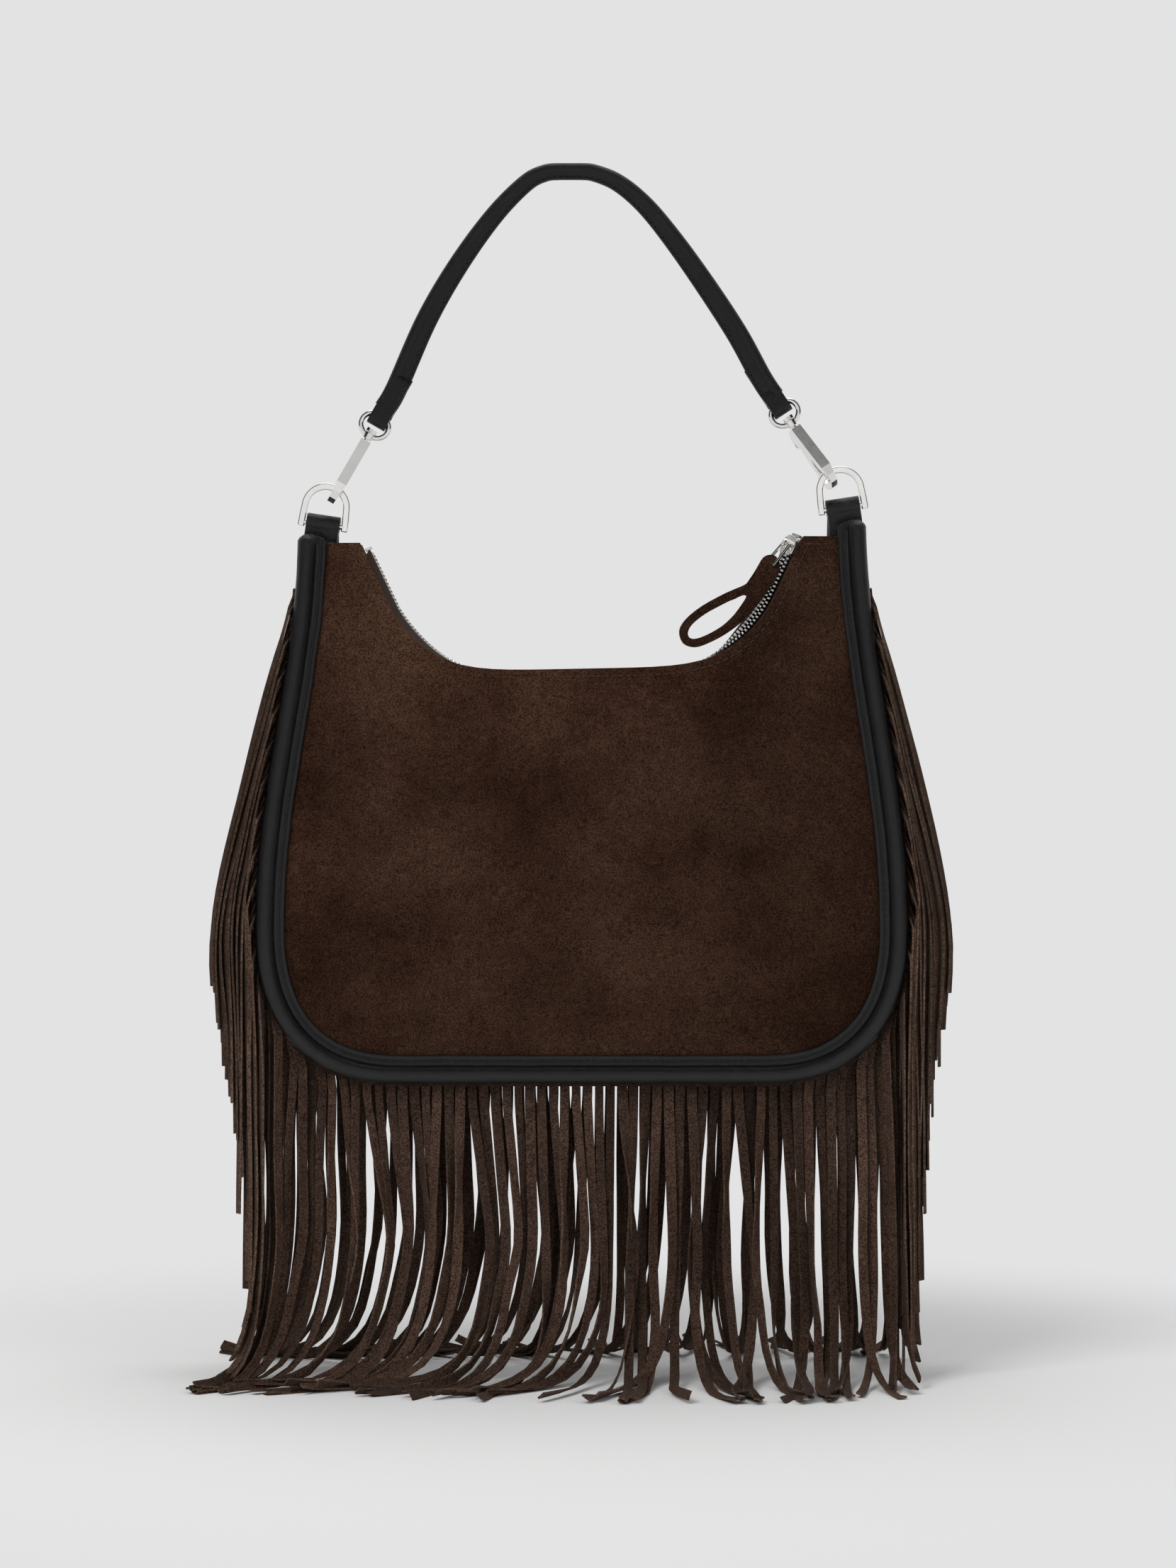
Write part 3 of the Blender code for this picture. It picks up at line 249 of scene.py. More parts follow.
class Layout:
    """Short ways to lay out the nodes of a material, of the world or of a shared effect."""

    def __init__(self, name, given=(), results=(), world=False):
        if given:
            self.tree = bpy.data.node_groups.new(name, "ShaderNodeTree")
            for way, labels in (("INPUT", given), ("OUTPUT", results)):
                for label in labels:
                    kind = "NodeSocket" + SOCKET_KINDS.get(label, "Color")
                    self.tree.interface.new_socket(label, in_out=way, socket_type=kind)
            self.given = self.tree.nodes.new("NodeGroupInput").outputs
            self.result = self.tree.nodes.new("NodeGroupOutput").inputs
            return
        self.owner = (bpy.data.worlds if world else bpy.data.materials).new(name)
        self.owner.use_nodes = True
        self.tree = self.owner.node_tree
        self.shader = self.tree.nodes["Background" if world else "Principled BSDF"]
        self.end = self.tree.nodes["World Output" if world else "Material Output"].inputs["Surface"]

    def add(self, kind, **values):
        """A new node; each value goes to the input of that name, or else to a setting."""
        node = self.tree.nodes.new(kind)
        for key, value in values.items():
            label = key.replace("_", " ")
            if label in node.inputs:
                node.inputs[label].default_value = value
            else:
                setattr(node, key, value)
        return node

    def link(self, a, b):
        self.tree.links.new(a, b)

    def place(self):
        """The point that is shaded, in the piece's own coordinates."""
        return self.add("ShaderNodeTexCoord").outputs["Object"]

    def noise(self, place, scale, detail=3.0, rough=0.55):
        node = self.add("ShaderNodeTexNoise", Scale=scale, Detail=detail, Roughness=rough)
        self.link(place, node.inputs["Vector"])
        return node.outputs["Fac"]

    def ramp(self, value, stops):
        node = self.add("ShaderNodeValToRGB")
        ramp = node.color_ramp
        for k, (at, colour) in enumerate(stops):
            stop = ramp.elements[k] if k < 2 else ramp.elements.new(at)
            stop.position = at
            stop.color = (*colour, 1)
        self.link(value, node.inputs["Fac"])
        return node.outputs["Color"]

    def mask(self, value, low, high):
        """Black up to low, white from high."""
        return self.ramp(value, [(low, (0, 0, 0)), (high, (1, 1, 1))])

    def calc(self, way, *values):
        """One step of arithmetic on sockets and plain numbers."""
        node = self.add("ShaderNodeMath", operation=way)
        for socket, value in zip(node.inputs, values):
            if isinstance(value, float):
                socket.default_value = value
            else:
                self.link(value, socket)
        return node.outputs[0]

    def between(self, value, a, b):
        """Colour a where value is 0 and colour b where it is 1."""
        node = self.add("ShaderNodeMix", data_type="RGBA")
        self.link(value, node.inputs[0])
        self.link(a, node.inputs[6])
        self.link(b, node.inputs[7])
        return node.outputs[2]

    def times(self, a, b):
        node = self.add("ShaderNodeMix", data_type="RGBA", blend_type="MULTIPLY")
        node.inputs[0].default_value = 1
        self.link(a, node.inputs[6])
        self.link(b, node.inputs[7])
        return node.outputs[2]

    def blend(self, share, a, b):
        """Shader a where share is 0 and shader b where it is 1."""
        node = self.add("ShaderNodeMixShader")
        for socket, value in zip(node.inputs, (share, a, b)):
            self.link(value, socket)
        return node.outputs[0]

    def bump(self, height, strength, distance, under=None):
        node = self.add("ShaderNodeBump", Strength=strength, Distance=distance)
        self.link(height, node.inputs["Height"])
        if under is not None:
            self.link(under, node.inputs["Normal"])
        return node.outputs["Normal"]

    def effect(self, group, **values):
        """Places a shared effect, fed with this material's own place and values."""
        node = self.add("ShaderNodeGroup", node_tree=group)
        self.link(self.place(), node.inputs["Place"])
        for name, value in values.items():
            node.inputs[name].default_value = value
        for name, socket in (("Colour", "Base Color"), ("Roughness", "Roughness"), ("Normal", "Normal")):
            if name in node.outputs:
                self.link(node.outputs[name], self.shader.inputs[socket])
        return node

    def set(self, **values):
        for key, value in values.items():
            self.shader.inputs[key.replace("_", " ")].default_value = value

    def put_out(self, **results):
        """Feeds the outputs of a shared effect and gives back its tree."""
        for name, value in results.items():
            self.link(value, self.result[name])
        return self.tree


def nap_effect():
    """Brushed suede: broad light and dark patches, a fine mottle and a felted surface."""
    made = Layout("suede_nap", ["Place", "Dark", "Light"], ["Colour", "Normal"])
    place = made.given["Place"]
    patch = made.mask(made.noise(place, 17, 5.0, 0.62), 0.36, 0.64)
    brushed = made.ramp(made.noise(place, 300), [(0.32, (0.82, 0.82, 0.82)), (0.7, (1.16, 1.15, 1.14))])
    mottle = [(0.42, (0.4, 0.39, 0.38)), (0.58, (1.6, 1.57, 1.55))]
    fine = made.ramp(made.noise(place, 1350, 4.0, 0.75), mottle)
    base = made.between(patch, made.given["Dark"], made.given["Light"])
    coarse = made.bump(made.noise(place, 420), 0.25, 0.0006)
    felt = made.bump(made.noise(place, 2600, 3.0, 0.7), 0.5, 0.0003, coarse)
    return made.put_out(Colour=made.times(made.times(base, brushed), fine), Normal=felt)


def grain_effect():
    """Leather grain: small cells with creases between them, and an uneven gloss."""
    made = Layout(
        "leather_grain", ["Place", "Dark", "Light", "Cells", "Gloss"], ["Colour", "Roughness", "Normal"]
    )
    place = made.given["Place"]
    cells = made.add("ShaderNodeTexVoronoi", feature="DISTANCE_TO_EDGE")
    made.link(place, cells.inputs["Vector"])
    made.link(made.given["Cells"], cells.inputs["Scale"])
    crease = made.mask(cells.outputs["Distance"], 0.0, 0.12)
    patch = made.mask(made.noise(place, 90), 0.3, 0.75)
    uneven = made.add("ShaderNodeMapRange", To_Min=-0.08, To_Max=0.1)
    made.link(made.noise(place, 160, 4.0), uneven.inputs["Value"])
    soft = made.bump(made.noise(place, 260), 0.2, 0.0006)
    return made.put_out(
        Colour=made.between(patch, made.given["Dark"], made.given["Light"]),
        Roughness=made.calc("ADD", made.given["Gloss"], uneven.outputs["Result"]),
        Normal=made.bump(crease, 0.55, 0.00012, soft),
    )


def plate_effect():
    """Plated metal: faint waves from polishing and a little haze from handling."""
    made = Layout("plate_haze", ["Place", "Clean", "Worn", "Gloss"], ["Colour", "Roughness", "Normal"])
    place = made.given["Place"]
    patch = made.mask(made.noise(place, 120, 2.0), 0.35, 0.8)
    return made.put_out(
        Colour=made.between(patch, made.given["Clean"], made.given["Worn"]),
        Roughness=made.calc("MULTIPLY_ADD", made.noise(place, 500, 5.0), 0.1, made.given["Gloss"]),
        Normal=made.bump(made.noise(place, 220, 2.0), 0.05, 0.0004),
    )


def twist_effect():
    """Waxed thread: the fine light and dark of its twist."""
    made = Layout("thread_twist", ["Place", "Dark", "Light"], ["Colour", "Normal"])
    strands = made.noise(made.given["Place"], 1800, 2.0)
    colour = made.between(made.mask(strands, 0.35, 0.7), made.given["Dark"], made.given["Light"])
    return made.put_out(Colour=colour, Normal=made.bump(strands, 0.3, 0.0001))


def suede(name, nap, dark, light, shaded=False):
    """Suede with its velvety edge light; shaded pieces carry a tone per point, partly painted shade."""
    made = Layout(name)
    placed_nap = made.effect(nap, Dark=(*dark, 1), Light=(*light, 1))
    if shaded:
        tone = made.add("ShaderNodeAttribute", attribute_name="tone").outputs["Fac"]
        tones = made.ramp(tone, [(0.0, (0.45, 0.45, 0.45)), (1.0, (1.7, 1.62, 1.55))])
        made.link(made.times(placed_nap.outputs["Colour"], tones), made.shader.inputs["Base Color"])
    made.set(Roughness=0.95, Sheen_Weight=0.1, Sheen_Roughness=0.4, Specular_IOR_Level=0.05)
    made.set(Sheen_Tint=(0.75, 0.6, 0.5, 1))
    return made.owner


def leather(name, grain, cells, gloss, shine):
    made = Layout(name)
    dark, light = (0.002, 0.002, 0.0022, 1), (0.0042, 0.0042, 0.0045, 1)
    made.effect(grain, Dark=dark, Light=light, Cells=cells, Gloss=gloss)
    made.set(Specular_IOR_Level=shine)
    return made.owner


def metal(name, plate, clean, worn, gloss):
    made = Layout(name)
    made.effect(plate, Clean=(*clean, 1), Worn=(*worn, 1), Gloss=gloss)
    made.set(Metallic=1.0)
    return made.owner


def woven_tape():
    """Ribbed tape of the zip."""
    made = Layout("zip_tape")
    ribs = made.add("ShaderNodeTexWave", Scale=1100, Distortion=0.6)
    made.link(made.place(), ribs.inputs["Vector"])
    tones = [(0.0, (0.026, 0.0145, 0.0095)), (1.0, (0.046, 0.027, 0.0185))]
    made.link(made.ramp(ribs.outputs["Fac"], tones), made.shader.inputs["Base Color"])
    made.link(made.bump(ribs.outputs["Fac"], 0.4, 0.0003), made.shader.inputs["Normal"])
    made.set(Roughness=0.9)
    return made.owner


def thread(name, twist, dark, light):
    made = Layout(name)
    made.effect(twist, Dark=(*dark, 1), Light=(*light, 1))
    made.set(Roughness=0.6)
    return made.owner


def make_materials():
    nap, grain, plate, twist = nap_effect(), grain_effect(), plate_effect(), twist_effect()
    return {
        "suede": suede("suede_panel", nap, (0.0225, 0.0105, 0.0064), (0.046, 0.0245, 0.0158), True),
        "suede_plain": suede("suede_plain", nap, (0.0225, 0.0105, 0.0064), (0.046, 0.0245, 0.0158)),
        "suede_fringe": suede("suede_fringe", nap, (0.040, 0.0250, 0.0190), (0.060, 0.0390, 0.0300), True),
        "suede_edge": suede("suede_raw_edge", nap, (0.055, 0.036, 0.027), (0.090, 0.062, 0.048), True),
        "piping": leather("piping_leather", grain, 1500, 0.33, 0.5),
        "strap": leather("strap_leather", grain, 1600, 0.32, 0.38),
        "nickel": metal("polished_nickel", plate, (0.86, 0.85, 0.83), (0.80, 0.79, 0.77), 0.05),
        "zip_metal": metal("zip_metal", plate, (0.74, 0.73, 0.71), (0.66, 0.65, 0.63), 0.2),
        "tape": woven_tape(),
        "black_thread": thread("black_thread", twist, (0.010, 0.010, 0.011), (0.018, 0.018, 0.019)),
        "brown_thread": thread("brown_thread", twist, (0.030, 0.018, 0.012), (0.056, 0.036, 0.025)),
    }


def finish_mesh(name, bm, finishes, body, smooth=45, covers=None):
    """Makes an object that rides on a body; it may take the place of a node of the CAD part."""
    bmesh.ops.recalc_face_normals(bm, faces=bm.faces)
    if bm.calc_volume(signed=True) < 0:
        bmesh.ops.reverse_faces(bm, faces=bm.faces)
    obj = add_object(name, bm, [FINISH[key] for key in finishes])
    obj.data.set_sharp_from_angle(angle=math.radians(smooth))
    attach(obj, body)
    if covers:
        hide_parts(covers)
    return obj


def add_object(name, bm, materials):
    mesh = bpy.data.meshes.new(name)
    bm.to_mesh(mesh)
    bm.free()
    obj = bpy.data.objects.new(name, mesh)
    bpy.context.scene.collection.objects.link(obj)
    for material in materials:
        mesh.materials.append(material)
    mesh.shade_smooth()
    return obj


def bevel(obj, width, angle=40, segments=2):
    """Rounds the sharp edges of a piece."""
    step = obj.modifiers.new("rounded_edges", "BEVEL")
    step.width = width
    step.segments = segments
    step.angle_limit = math.radians(angle)
    step.harden_normals = True


def loft(rings, bm=None, closed=False):
    """Joins rings of points with the same count; open lofts get end caps."""
    bm = bm or bmesh.new()
    rows = [[bm.verts.new(point) for point in ring] for ring in rings]
    pairs = list(zip(rows, rows[1:]))
    if closed:
        pairs.append((rows[-1], rows[0]))
    for low, high in pairs:
        for k in range(len(low)):
            j = (k + 1) % len(low)
            bm.faces.new((low[k], low[j], high[j], high[k]))
    if not closed:
        bm.faces.new(rows[0])
        bm.faces.new(rows[-1])
    return bm


def spline(points, steps, closed=False):
    """A smooth line through points, with steps between each pair."""
    line = []
    count = len(points)
    for k in range(count if closed else count - 1):
        if closed:
            a, b, c, d = (points[(k + i) % count] for i in (-1, 0, 1, 2))
        else:
            a, b, c, d = points[max(k - 1, 0)], points[k], points[k + 1], points[min(k + 2, count - 1)]
        for i in range(steps):
            t = i / steps
            t2, t3 = t * t, t * t * t
            near, far = (c - a) / 2, (d - b) / 2
            point = b * (2 * t3 - 3 * t2 + 1) + near * (t3 - 2 * t2 + t)
            line.append(point + c * (3 * t2 - 2 * t3) + far * (t3 - t2))
    if not closed:
        line.append(points[-1])
    return line


def add_stitch(bm, centre, along, out, length=STITCH_LENGTH, radius=STITCH_R):
    """One thread stitch: a short capsule whose ends dive into the leather."""
    side = along.cross(out).normalized()
    rings = []
    for at, lift, share in ((-0.5, -0.5, 0.5), (-0.3, 0.5, 1.0), (0.3, 0.5, 1.0), (0.5, -0.5, 0.5)):
        middle = centre + along * length * at + out * radius * lift
        turns = [math.pi * 2 * k / 5 for k in range(5)]
        rings.append([middle + (side * math.cos(a) + out * math.sin(a)) * radius * share for a in turns])
    loft(rings, bm)


def flare(z, side):
    """Half width of the piping's outer edge at height z of the straight side."""
    t = clamp((TOP_Z[side] - z) / (TOP_Z[side] - WIDE_Z))
    return TOP_HALF + (WIDE_HALF - TOP_HALF) * (1 - math.cos(math.pi * t)) / 2


def half_outline(side, steps=48):
    """Outer edge of one half of the piping, from the bottom's centre up to the top."""
    points = [(side * CORNER_X * k / 12, 0.0) for k in range(12)]
    for k in range(steps + 1):
        angle = math.pi / 2 * (1 - k / steps)
        across = math.cos(angle) ** (2 / CORNER_POWER)
        down = math.sin(angle) ** (2 / CORNER_POWER)
        points.append((side * (CORNER_X + (WIDE_HALF - CORNER_X) * across), WIDE_Z * (1 - down)))
    for k in range(1, steps + 1):
        z = mix(WIDE_Z, TOP_Z[side], k / steps)
        points.append((side * flare(z, side), z))
    return points


class Seam:
    """The line through the piping's roll, by its length from the bottom's centre."""

    def __init__(self):
        edge = [Vector(point) for point in half_outline(LEFT)[:0:-1] + half_outline(RIGHT)]
        line = []
        for k, point in enumerate(edge):
            along = (edge[min(k + 1, len(edge) - 1)] - edge[max(k - 1, 0)]).normalized()
            line.append(point + Vector((-along.y, along.x)) * ROLL_R)
        self.line = line
        self.length = [0.0]
        for a, b in zip(line, line[1:]):
            self.length.append(self.length[-1] + (b - a).length)
        middle = min(range(len(line)), key=lambda k: abs(line[k].x) + line[k].y)
        self.zero = self.length[middle]
        self.low = -self.zero
        self.high = self.length[-1] - self.zero

    def at(self, s):
        """Place and outward direction at s."""
        want = clamp(s + self.zero, 0.0, self.length[-1])
        low, high = 0, len(self.line) - 2
        while low < high:
            middle = (low + high + 1) // 2
            if self.length[middle] <= want:
                low = middle
            else:
                high = middle - 1
        k = low
        t = (want - self.length[k]) / (self.length[k + 1] - self.length[k])
        along = (self.line[min(k + 3, len(self.line) - 1)] - self.line[max(k - 2, 0)]).normalized()
        return self.line[k].lerp(self.line[k + 1], t), Vector((along.y, -along.x))

    def find(self, height, side):
        """The s at which the seam reaches a height on one side."""
        high = self.high if side == RIGHT else -self.low
        return side * halve(high, lambda s: self.at(side * s)[0].y < height)


SEAM = Seam()


def half_depth(x, z):
    """Distance from the centre plane to the seam at a height."""
    top = mix(TOP_Z[LEFT], TOP_Z[RIGHT], clamp(x / TOP_HALF * 0.5 + 0.5))
    t = clamp((top - z) / (top - DEEP_Z))
    return TOP_DEPTH + (BOTTOM_DEPTH - TOP_DEPTH) * math.sin(math.pi / 2 * t)


def seam_point(s, out, inward, face):
    """A point near the seam: out from the bag's edge, inward towards the centre plane."""
    point, normal = SEAM.at(s)
    place = point + normal * out
    return bag_point(place.x, face * (half_depth(point.x, point.y) - inward), place.y)


def lip_z(x):
    """Height of the scooped lip."""
    side = RIGHT if x > 0 else LEFT
    reach = min(abs(x), STRAIGHT_X)
    z = LIP_Z + LIP_RISE * (reach / LIP_HALF) ** LIP_POWER + LIP_TILT * side * reach
    return z + STRAIGHT_SLOPE * (abs(x) - reach)


def lip_end(side):
    """Where the lip's straight end meets the panel's top edge."""
    return STRAIGHT_X + (PANEL_TOP[side] - lip_z(side * STRAIGHT_X)) / STRAIGHT_SLOPE


def make_piping(face):
    """The leather roll with a grooved flange, and its row of stitches."""
    word = FACE_WORD[face]
    lap = math.asin(FLANGE_T / 2 / ROLL_R)
    tip = -(ROLL_R + FLANGE_W)
    groove = -PIPING_STITCH_AT
    outside = [(tip, 0.25), (tip + 0.3 * MM, 0.6), (groove - 0.7 * MM, 0.62), (groove - 0.3 * MM, 0.3)]
    outside += [(groove + 0.3 * MM, 0.3), (groove + 0.7 * MM, 0.62)]
    section = [(out, -thick * MM) for out, thick in outside]
    section += arc(ROLL_R, math.pi + lap, 3 * math.pi - lap, 18)
    section += [(groove, 0.6 * MM), (tip, 0.5 * MM)]
    rings = []
    ends = [0.3 * MM, 0.9 * MM, 1.8 * MM]
    places = stations(SEAM.low, SEAM.high, 240)
    places += [SEAM.low + run for run in ends] + [SEAM.high - run for run in ends]
    for s in sorted(places):
        swell = 1 + 0.03 * noise.noise(Vector((s * 60, face * 3, 0)))
        swell += 0.02 * noise.noise(Vector((s * 170, face, 5)))
        near = min(s - SEAM.low, SEAM.high - s) / PIPING_END
        dome = 1 - 0.75 * (1 - clamp(near)) ** 2
        rings.append([seam_point(s, out * swell * dome, inward * dome, face) for out, inward in section])
    finish_mesh(
        word + "_piping_roll", loft(rings), ["piping"], "bag", 70, word + "_piping"
    )
    bm = bmesh.new()
    count = int((SEAM.high - SEAM.low - 2 * PIPING_STITCH_MARGIN) / STITCH_PITCH)
    for k in range(count):
        s = SEAM.low + PIPING_STITCH_MARGIN + (k + 0.5) * STITCH_PITCH
        here = seam_point(s, groove, -PIPING_STITCH_OUT, face)
        along = (seam_point(s + MM, groove, -PIPING_STITCH_OUT, face) - here).normalized()
        add_stitch(bm, here, along, Vector((0, face, 0)))
    finish_mesh(word + "_piping_stitches", bm, ["black_thread"], "bag")


def panel_edge(s, inset=0.0):
    point, normal = SEAM.at(s)
    return point - normal * (PANEL_INSET + inset)


def panel_depth(x, z, relief=0.0):
    """Outer face of a panel from the centre plane; relief adds the soft unevenness of suede."""
    place = Vector((x, z))
    away = min((place - point).length for point in SEAM.line[::2]) - PANEL_INSET - LAP_W
    swell = 1 - (1 - clamp(away / BULGE_RUN)) ** 2.5
    height = 0.35 + 0.65 * math.sin(math.pi * clamp(z / (210 * MM)))
    depth = half_depth(x, z) - PANEL_SINK + PANEL_BULGE * swell * height
    if relief and away > 0:
        wave = noise.noise(Vector((x * 16, z * 11, 4))) * 1.1 * MM
        wave += noise.noise(Vector((x * 45, z * 30, 9))) * 0.35 * MM
        crease = math.exp(-(((x + 118 * MM + (z - 120 * MM) * 0.05) / (4.5 * MM)) ** 2))
        crease *= smooth_step((z - 25 * MM) / (30 * MM)) * smooth_step((235 * MM - z) / (40 * MM))
        depth += relief * smooth_step(away / (14 * MM)) * (wave - 1.3 * MM * crease)
    return depth


def panel_flank(side):
    """The s of the inset rim's low and high ends on one side, and its half width at the top."""
    high = abs(SEAM.high if side == RIGHT else SEAM.low)
    top = side * halve(high, lambda s: panel_edge(side * s, LAP_W).y < PANEL_TOP[side])
    return SEAM.find(WIDE_Z, side), top, abs(panel_edge(top, LAP_W).x)


def panel_top(x):
    side = RIGHT if x > 0 else LEFT
    if abs(x) >= lip_end(side) - 1e-6:
        return PANEL_TOP[side]
    return lip_z(x)


def make_panel(face):
    """A suede sheet inside the piping, with its soft relief and the topstitched lip."""
    word = FACE_WORD[face]
    flanks = {side: panel_flank(side) for side in (LEFT, RIGHT)}
    halves = {}
    for side in (LEFT, RIGHT):
        end = lip_end(side)
        places = [x * MM for x in (8, 16, 24, 32, 40, 47, 54, 60, 66, 71, 76, 80, 83)]
        places += [STRAIGHT_X, mix(STRAIGHT_X, end, 0.33), mix(STRAIGHT_X, end, 0.66), end]
        places += [mix(end, flanks[side][2], 0.4), mix(end, flanks[side][2], 0.75), flanks[side][2]]
        halves[side] = [side * x for x in places]
    columns = halves[LEFT][::-1] + [0.0] + halves[RIGHT]
    rows = [k / 36 for k in range(36)] + [0.992, 1.0]
    first, last = columns[0], columns[-1]
    bm = bmesh.new()

    def pair(place):
        depth = panel_depth(place.x, place.y, 1.0)
        return [bm.verts.new(bag_point(place.x, face * y, place.y)) for y in (depth, depth - PANEL_T)]

    def bottom_s(x):
        low, _, width = flanks[RIGHT if x > 0 else LEFT]
        return low * abs(x) / width

    grid = []
    for v in rows:
        row = []
        for x in columns:
            u = (x - first) / (last - first)
            left_s = mix(flanks[LEFT][0], flanks[LEFT][1], v)
            right_s = mix(flanks[RIGHT][0], flanks[RIGHT][1], v)
            place = panel_edge(bottom_s(x), LAP_W) * (1 - v) + Vector((x, panel_top(x))) * v
            place += panel_edge(left_s, LAP_W) * (1 - u) + panel_edge(right_s, LAP_W) * u
            low = panel_edge(bottom_s(first), LAP_W) * (1 - u)
            low += panel_edge(bottom_s(last), LAP_W) * u
            high = Vector((first, PANEL_TOP[LEFT])) * (1 - u) + Vector((last, PANEL_TOP[RIGHT])) * u
            row.append(pair(place - low * (1 - v) - high * v))
        grid.append(row)
    rim_s = [mix(flanks[LEFT][0], flanks[LEFT][1], v) for v in rows[:0:-1]]
    rim_s += [bottom_s(x) for x in columns]
    rim_s += [mix(flanks[RIGHT][0], flanks[RIGHT][1], v) for v in rows[1:]]
    rim = [pair(panel_edge(s)) for s in rim_s]
    beside = [row[0] for row in grid[:0:-1]] + grid[0] + [row[-1] for row in grid[1:]]
    for layer in (0, 1):
        for low, high in zip(grid, grid[1:]):
            for k in range(len(columns) - 1):
                corners = (low[k], low[k + 1], high[k + 1], high[k])
                bm.faces.new([corner[layer] for corner in corners])
        for k in range(len(rim) - 1):
            corners = (rim[k], rim[k + 1], beside[k + 1], beside[k])
            bm.faces.new([corner[layer] for corner in corners])
    loop = rim + grid[-1][::-1]
    for k, here in enumerate(loop):
        there = loop[(k + 1) % len(loop)]
        edge = bm.faces.new((here[0], there[0], there[1], here[1]))
        edge.material_index = 1
    tone = bm.verts.layers.float.new("tone")
    for vert in bm.verts:
        x, z = vert.co.x - BAG_X, vert.co.z - BAG_Z
        below = max(panel_top(clamp(x, first, last)) - z, 0)
        # Lighter just below the lip, fading out to the right; the right half darker, painted shade; a
        # little random tone.
        lighter_below_lip = 0.36 * math.exp(-below / (24 * MM)) * (1 - smooth_step((x - 45 * MM) / (40 * MM)))
        painted_shade = 0.1 * smooth_step((x - 20 * MM) / (60 * MM))
        vert[tone] = 0.42 + lighter_below_lip - painted_shade + 0.06 * noise.noise(Vector((x * 30, z * 30, face)))
    finish_mesh(word + "_suede", bm, ["suede", "piping"], "bag", 60, word + "_panel")
    bm = bmesh.new()
    x = first + LIP_STITCH_MARGIN
    while x < last - LIP_STITCH_MARGIN:
        slope = (panel_top(x + 0.5 * MM) - panel_top(x - 0.5 * MM)) / MM
        along = Vector((1, 0, slope)).normalized()
        if abs(slope) < 5:
            at = Vector((x, 0, panel_top(x))) + Vector((along.z, 0, -along.x)) * LIP_STITCH_DROP
            depth = panel_depth(at.x, at.z, 1.0) + 0.1 * MM
            here = bag_point(at.x, face * depth, at.z)
            add_stitch(bm, here, along, Vector((0, face, 0)))
        x += LIP_PITCH * along.x
    finish_mesh(word + "_lip_stitches", bm, ["brown_thread"], "bag")


def hang_line():
    """The s of each strip and the x at which it hangs below the bag's widest place."""
    hang = {}
    for side in (LEFT, RIGHT):
        count = int(abs(SEAM.find(FRINGE_TOP, side)) / STRIP_PITCH)
        x = STRIP_PITCH / 2
        for k in range(count):
            s = (k + 0.5) * STRIP_PITCH
            normal = SEAM.at(side * s)[1]
            hang[side, k] = (side * s, side * (x + HANG_OUT * abs(normal.x)))
            x += STRIP_PITCH * max(abs(normal.y), HANG_PACK)
    return hang


HANG = hang_line()


def strip_route(side, k, face):
    """The way of one strip: points in the bag's frame, and the direction of its width."""
    s, hang_x = HANG[side, k]
    point, normal = SEAM.at(s)
    turn = math.pi / 2 * abs(normal.x) ** 8
    layer = k % LAYERS
    step = mix(STRIP_STACK, STRIP_COLUMN, math.sin(turn))
    inward = mix(HEADER_Y - STRIP_STACK, -1.2 * MM, math.sin(turn)) + layer * step
    width = Vector((side * math.cos(turn), face * math.sin(turn), 0))
    lower, lower_normal = SEAM.at(side * max(abs(s) - DROP * abs(normal.x), 0))
    reach = lower + lower_normal * mix(REACH_BELOW, REACH, abs(normal.x))
    depth = half_depth(point.x, point.y)
    root = seam_point(s, HEADER_OUT - 1.0 * MM, HEADER_Y, face) - Vector((BAG_X, 0, BAG_Z))
    start = Vector((reach.x, face * (depth - inward), reach.y))
    if point.y > WIDE_Z:
        return side_route(side, k, face, root, start, hang_x), width
    free = 1 - abs(normal.x)
    loose = 0.35 + 0.65 * free
    across = clamp((hang_x + 130 * MM) / (230 * MM))
    sweep = (mix(-1.25, 0.1, smooth_step(across)) + CHANCE.uniform(-0.35, 0.3)) * loose
    lean = Vector((sweep, face * 0.62, 0)).normalized()
    pull = abs(lean.x) * math.copysign(1, lean.x)
    lift = STRIP_T * 0.6 + layer * 1.1 * MM
    bunch = BUNCH * noise.noise(Vector((k * 0.23 * side, face * 7.0, 1.5)))
    sway = (bunch + stray(SWAY)) * loose
    bow = ((3.5 - 4.5 * across) * MM + stray(BOW)) * loose
    y = face * (depth - inward)
    turn_z = FLOOR_Z + mix(BEND_LOW, BEND_HIGH, abs(lean.x)) + stray(4 * MM)
    drift = stray(3 * MM) * loose
    route = [root, start]
    for share, aside in ((0.4, bow * 0.6 + sway * 0.4), (0.75, bow + sway * 0.8)):
        route.append(Vector((hang_x + aside, y + drift * share, mix(start.z, turn_z, share))))
    bend = Vector((hang_x + bow * 0.6 + sway + pull * 3 * MM, y + drift, turn_z))
    route.append(bend)
    for far, up in ((6, 0.52), (15, 0.22), (27, 0.06), (44, 0.0), (70, 0.0)):
        spot = bend + lean * far * MM
        spot.z = mix(FLOOR_Z + lift, turn_z, up)
        route.append(spot)
    route[-1].x += stray(9 * MM) * loose
    route[-1].z += CHANCE.uniform(0, 3) * MM
    return route, width


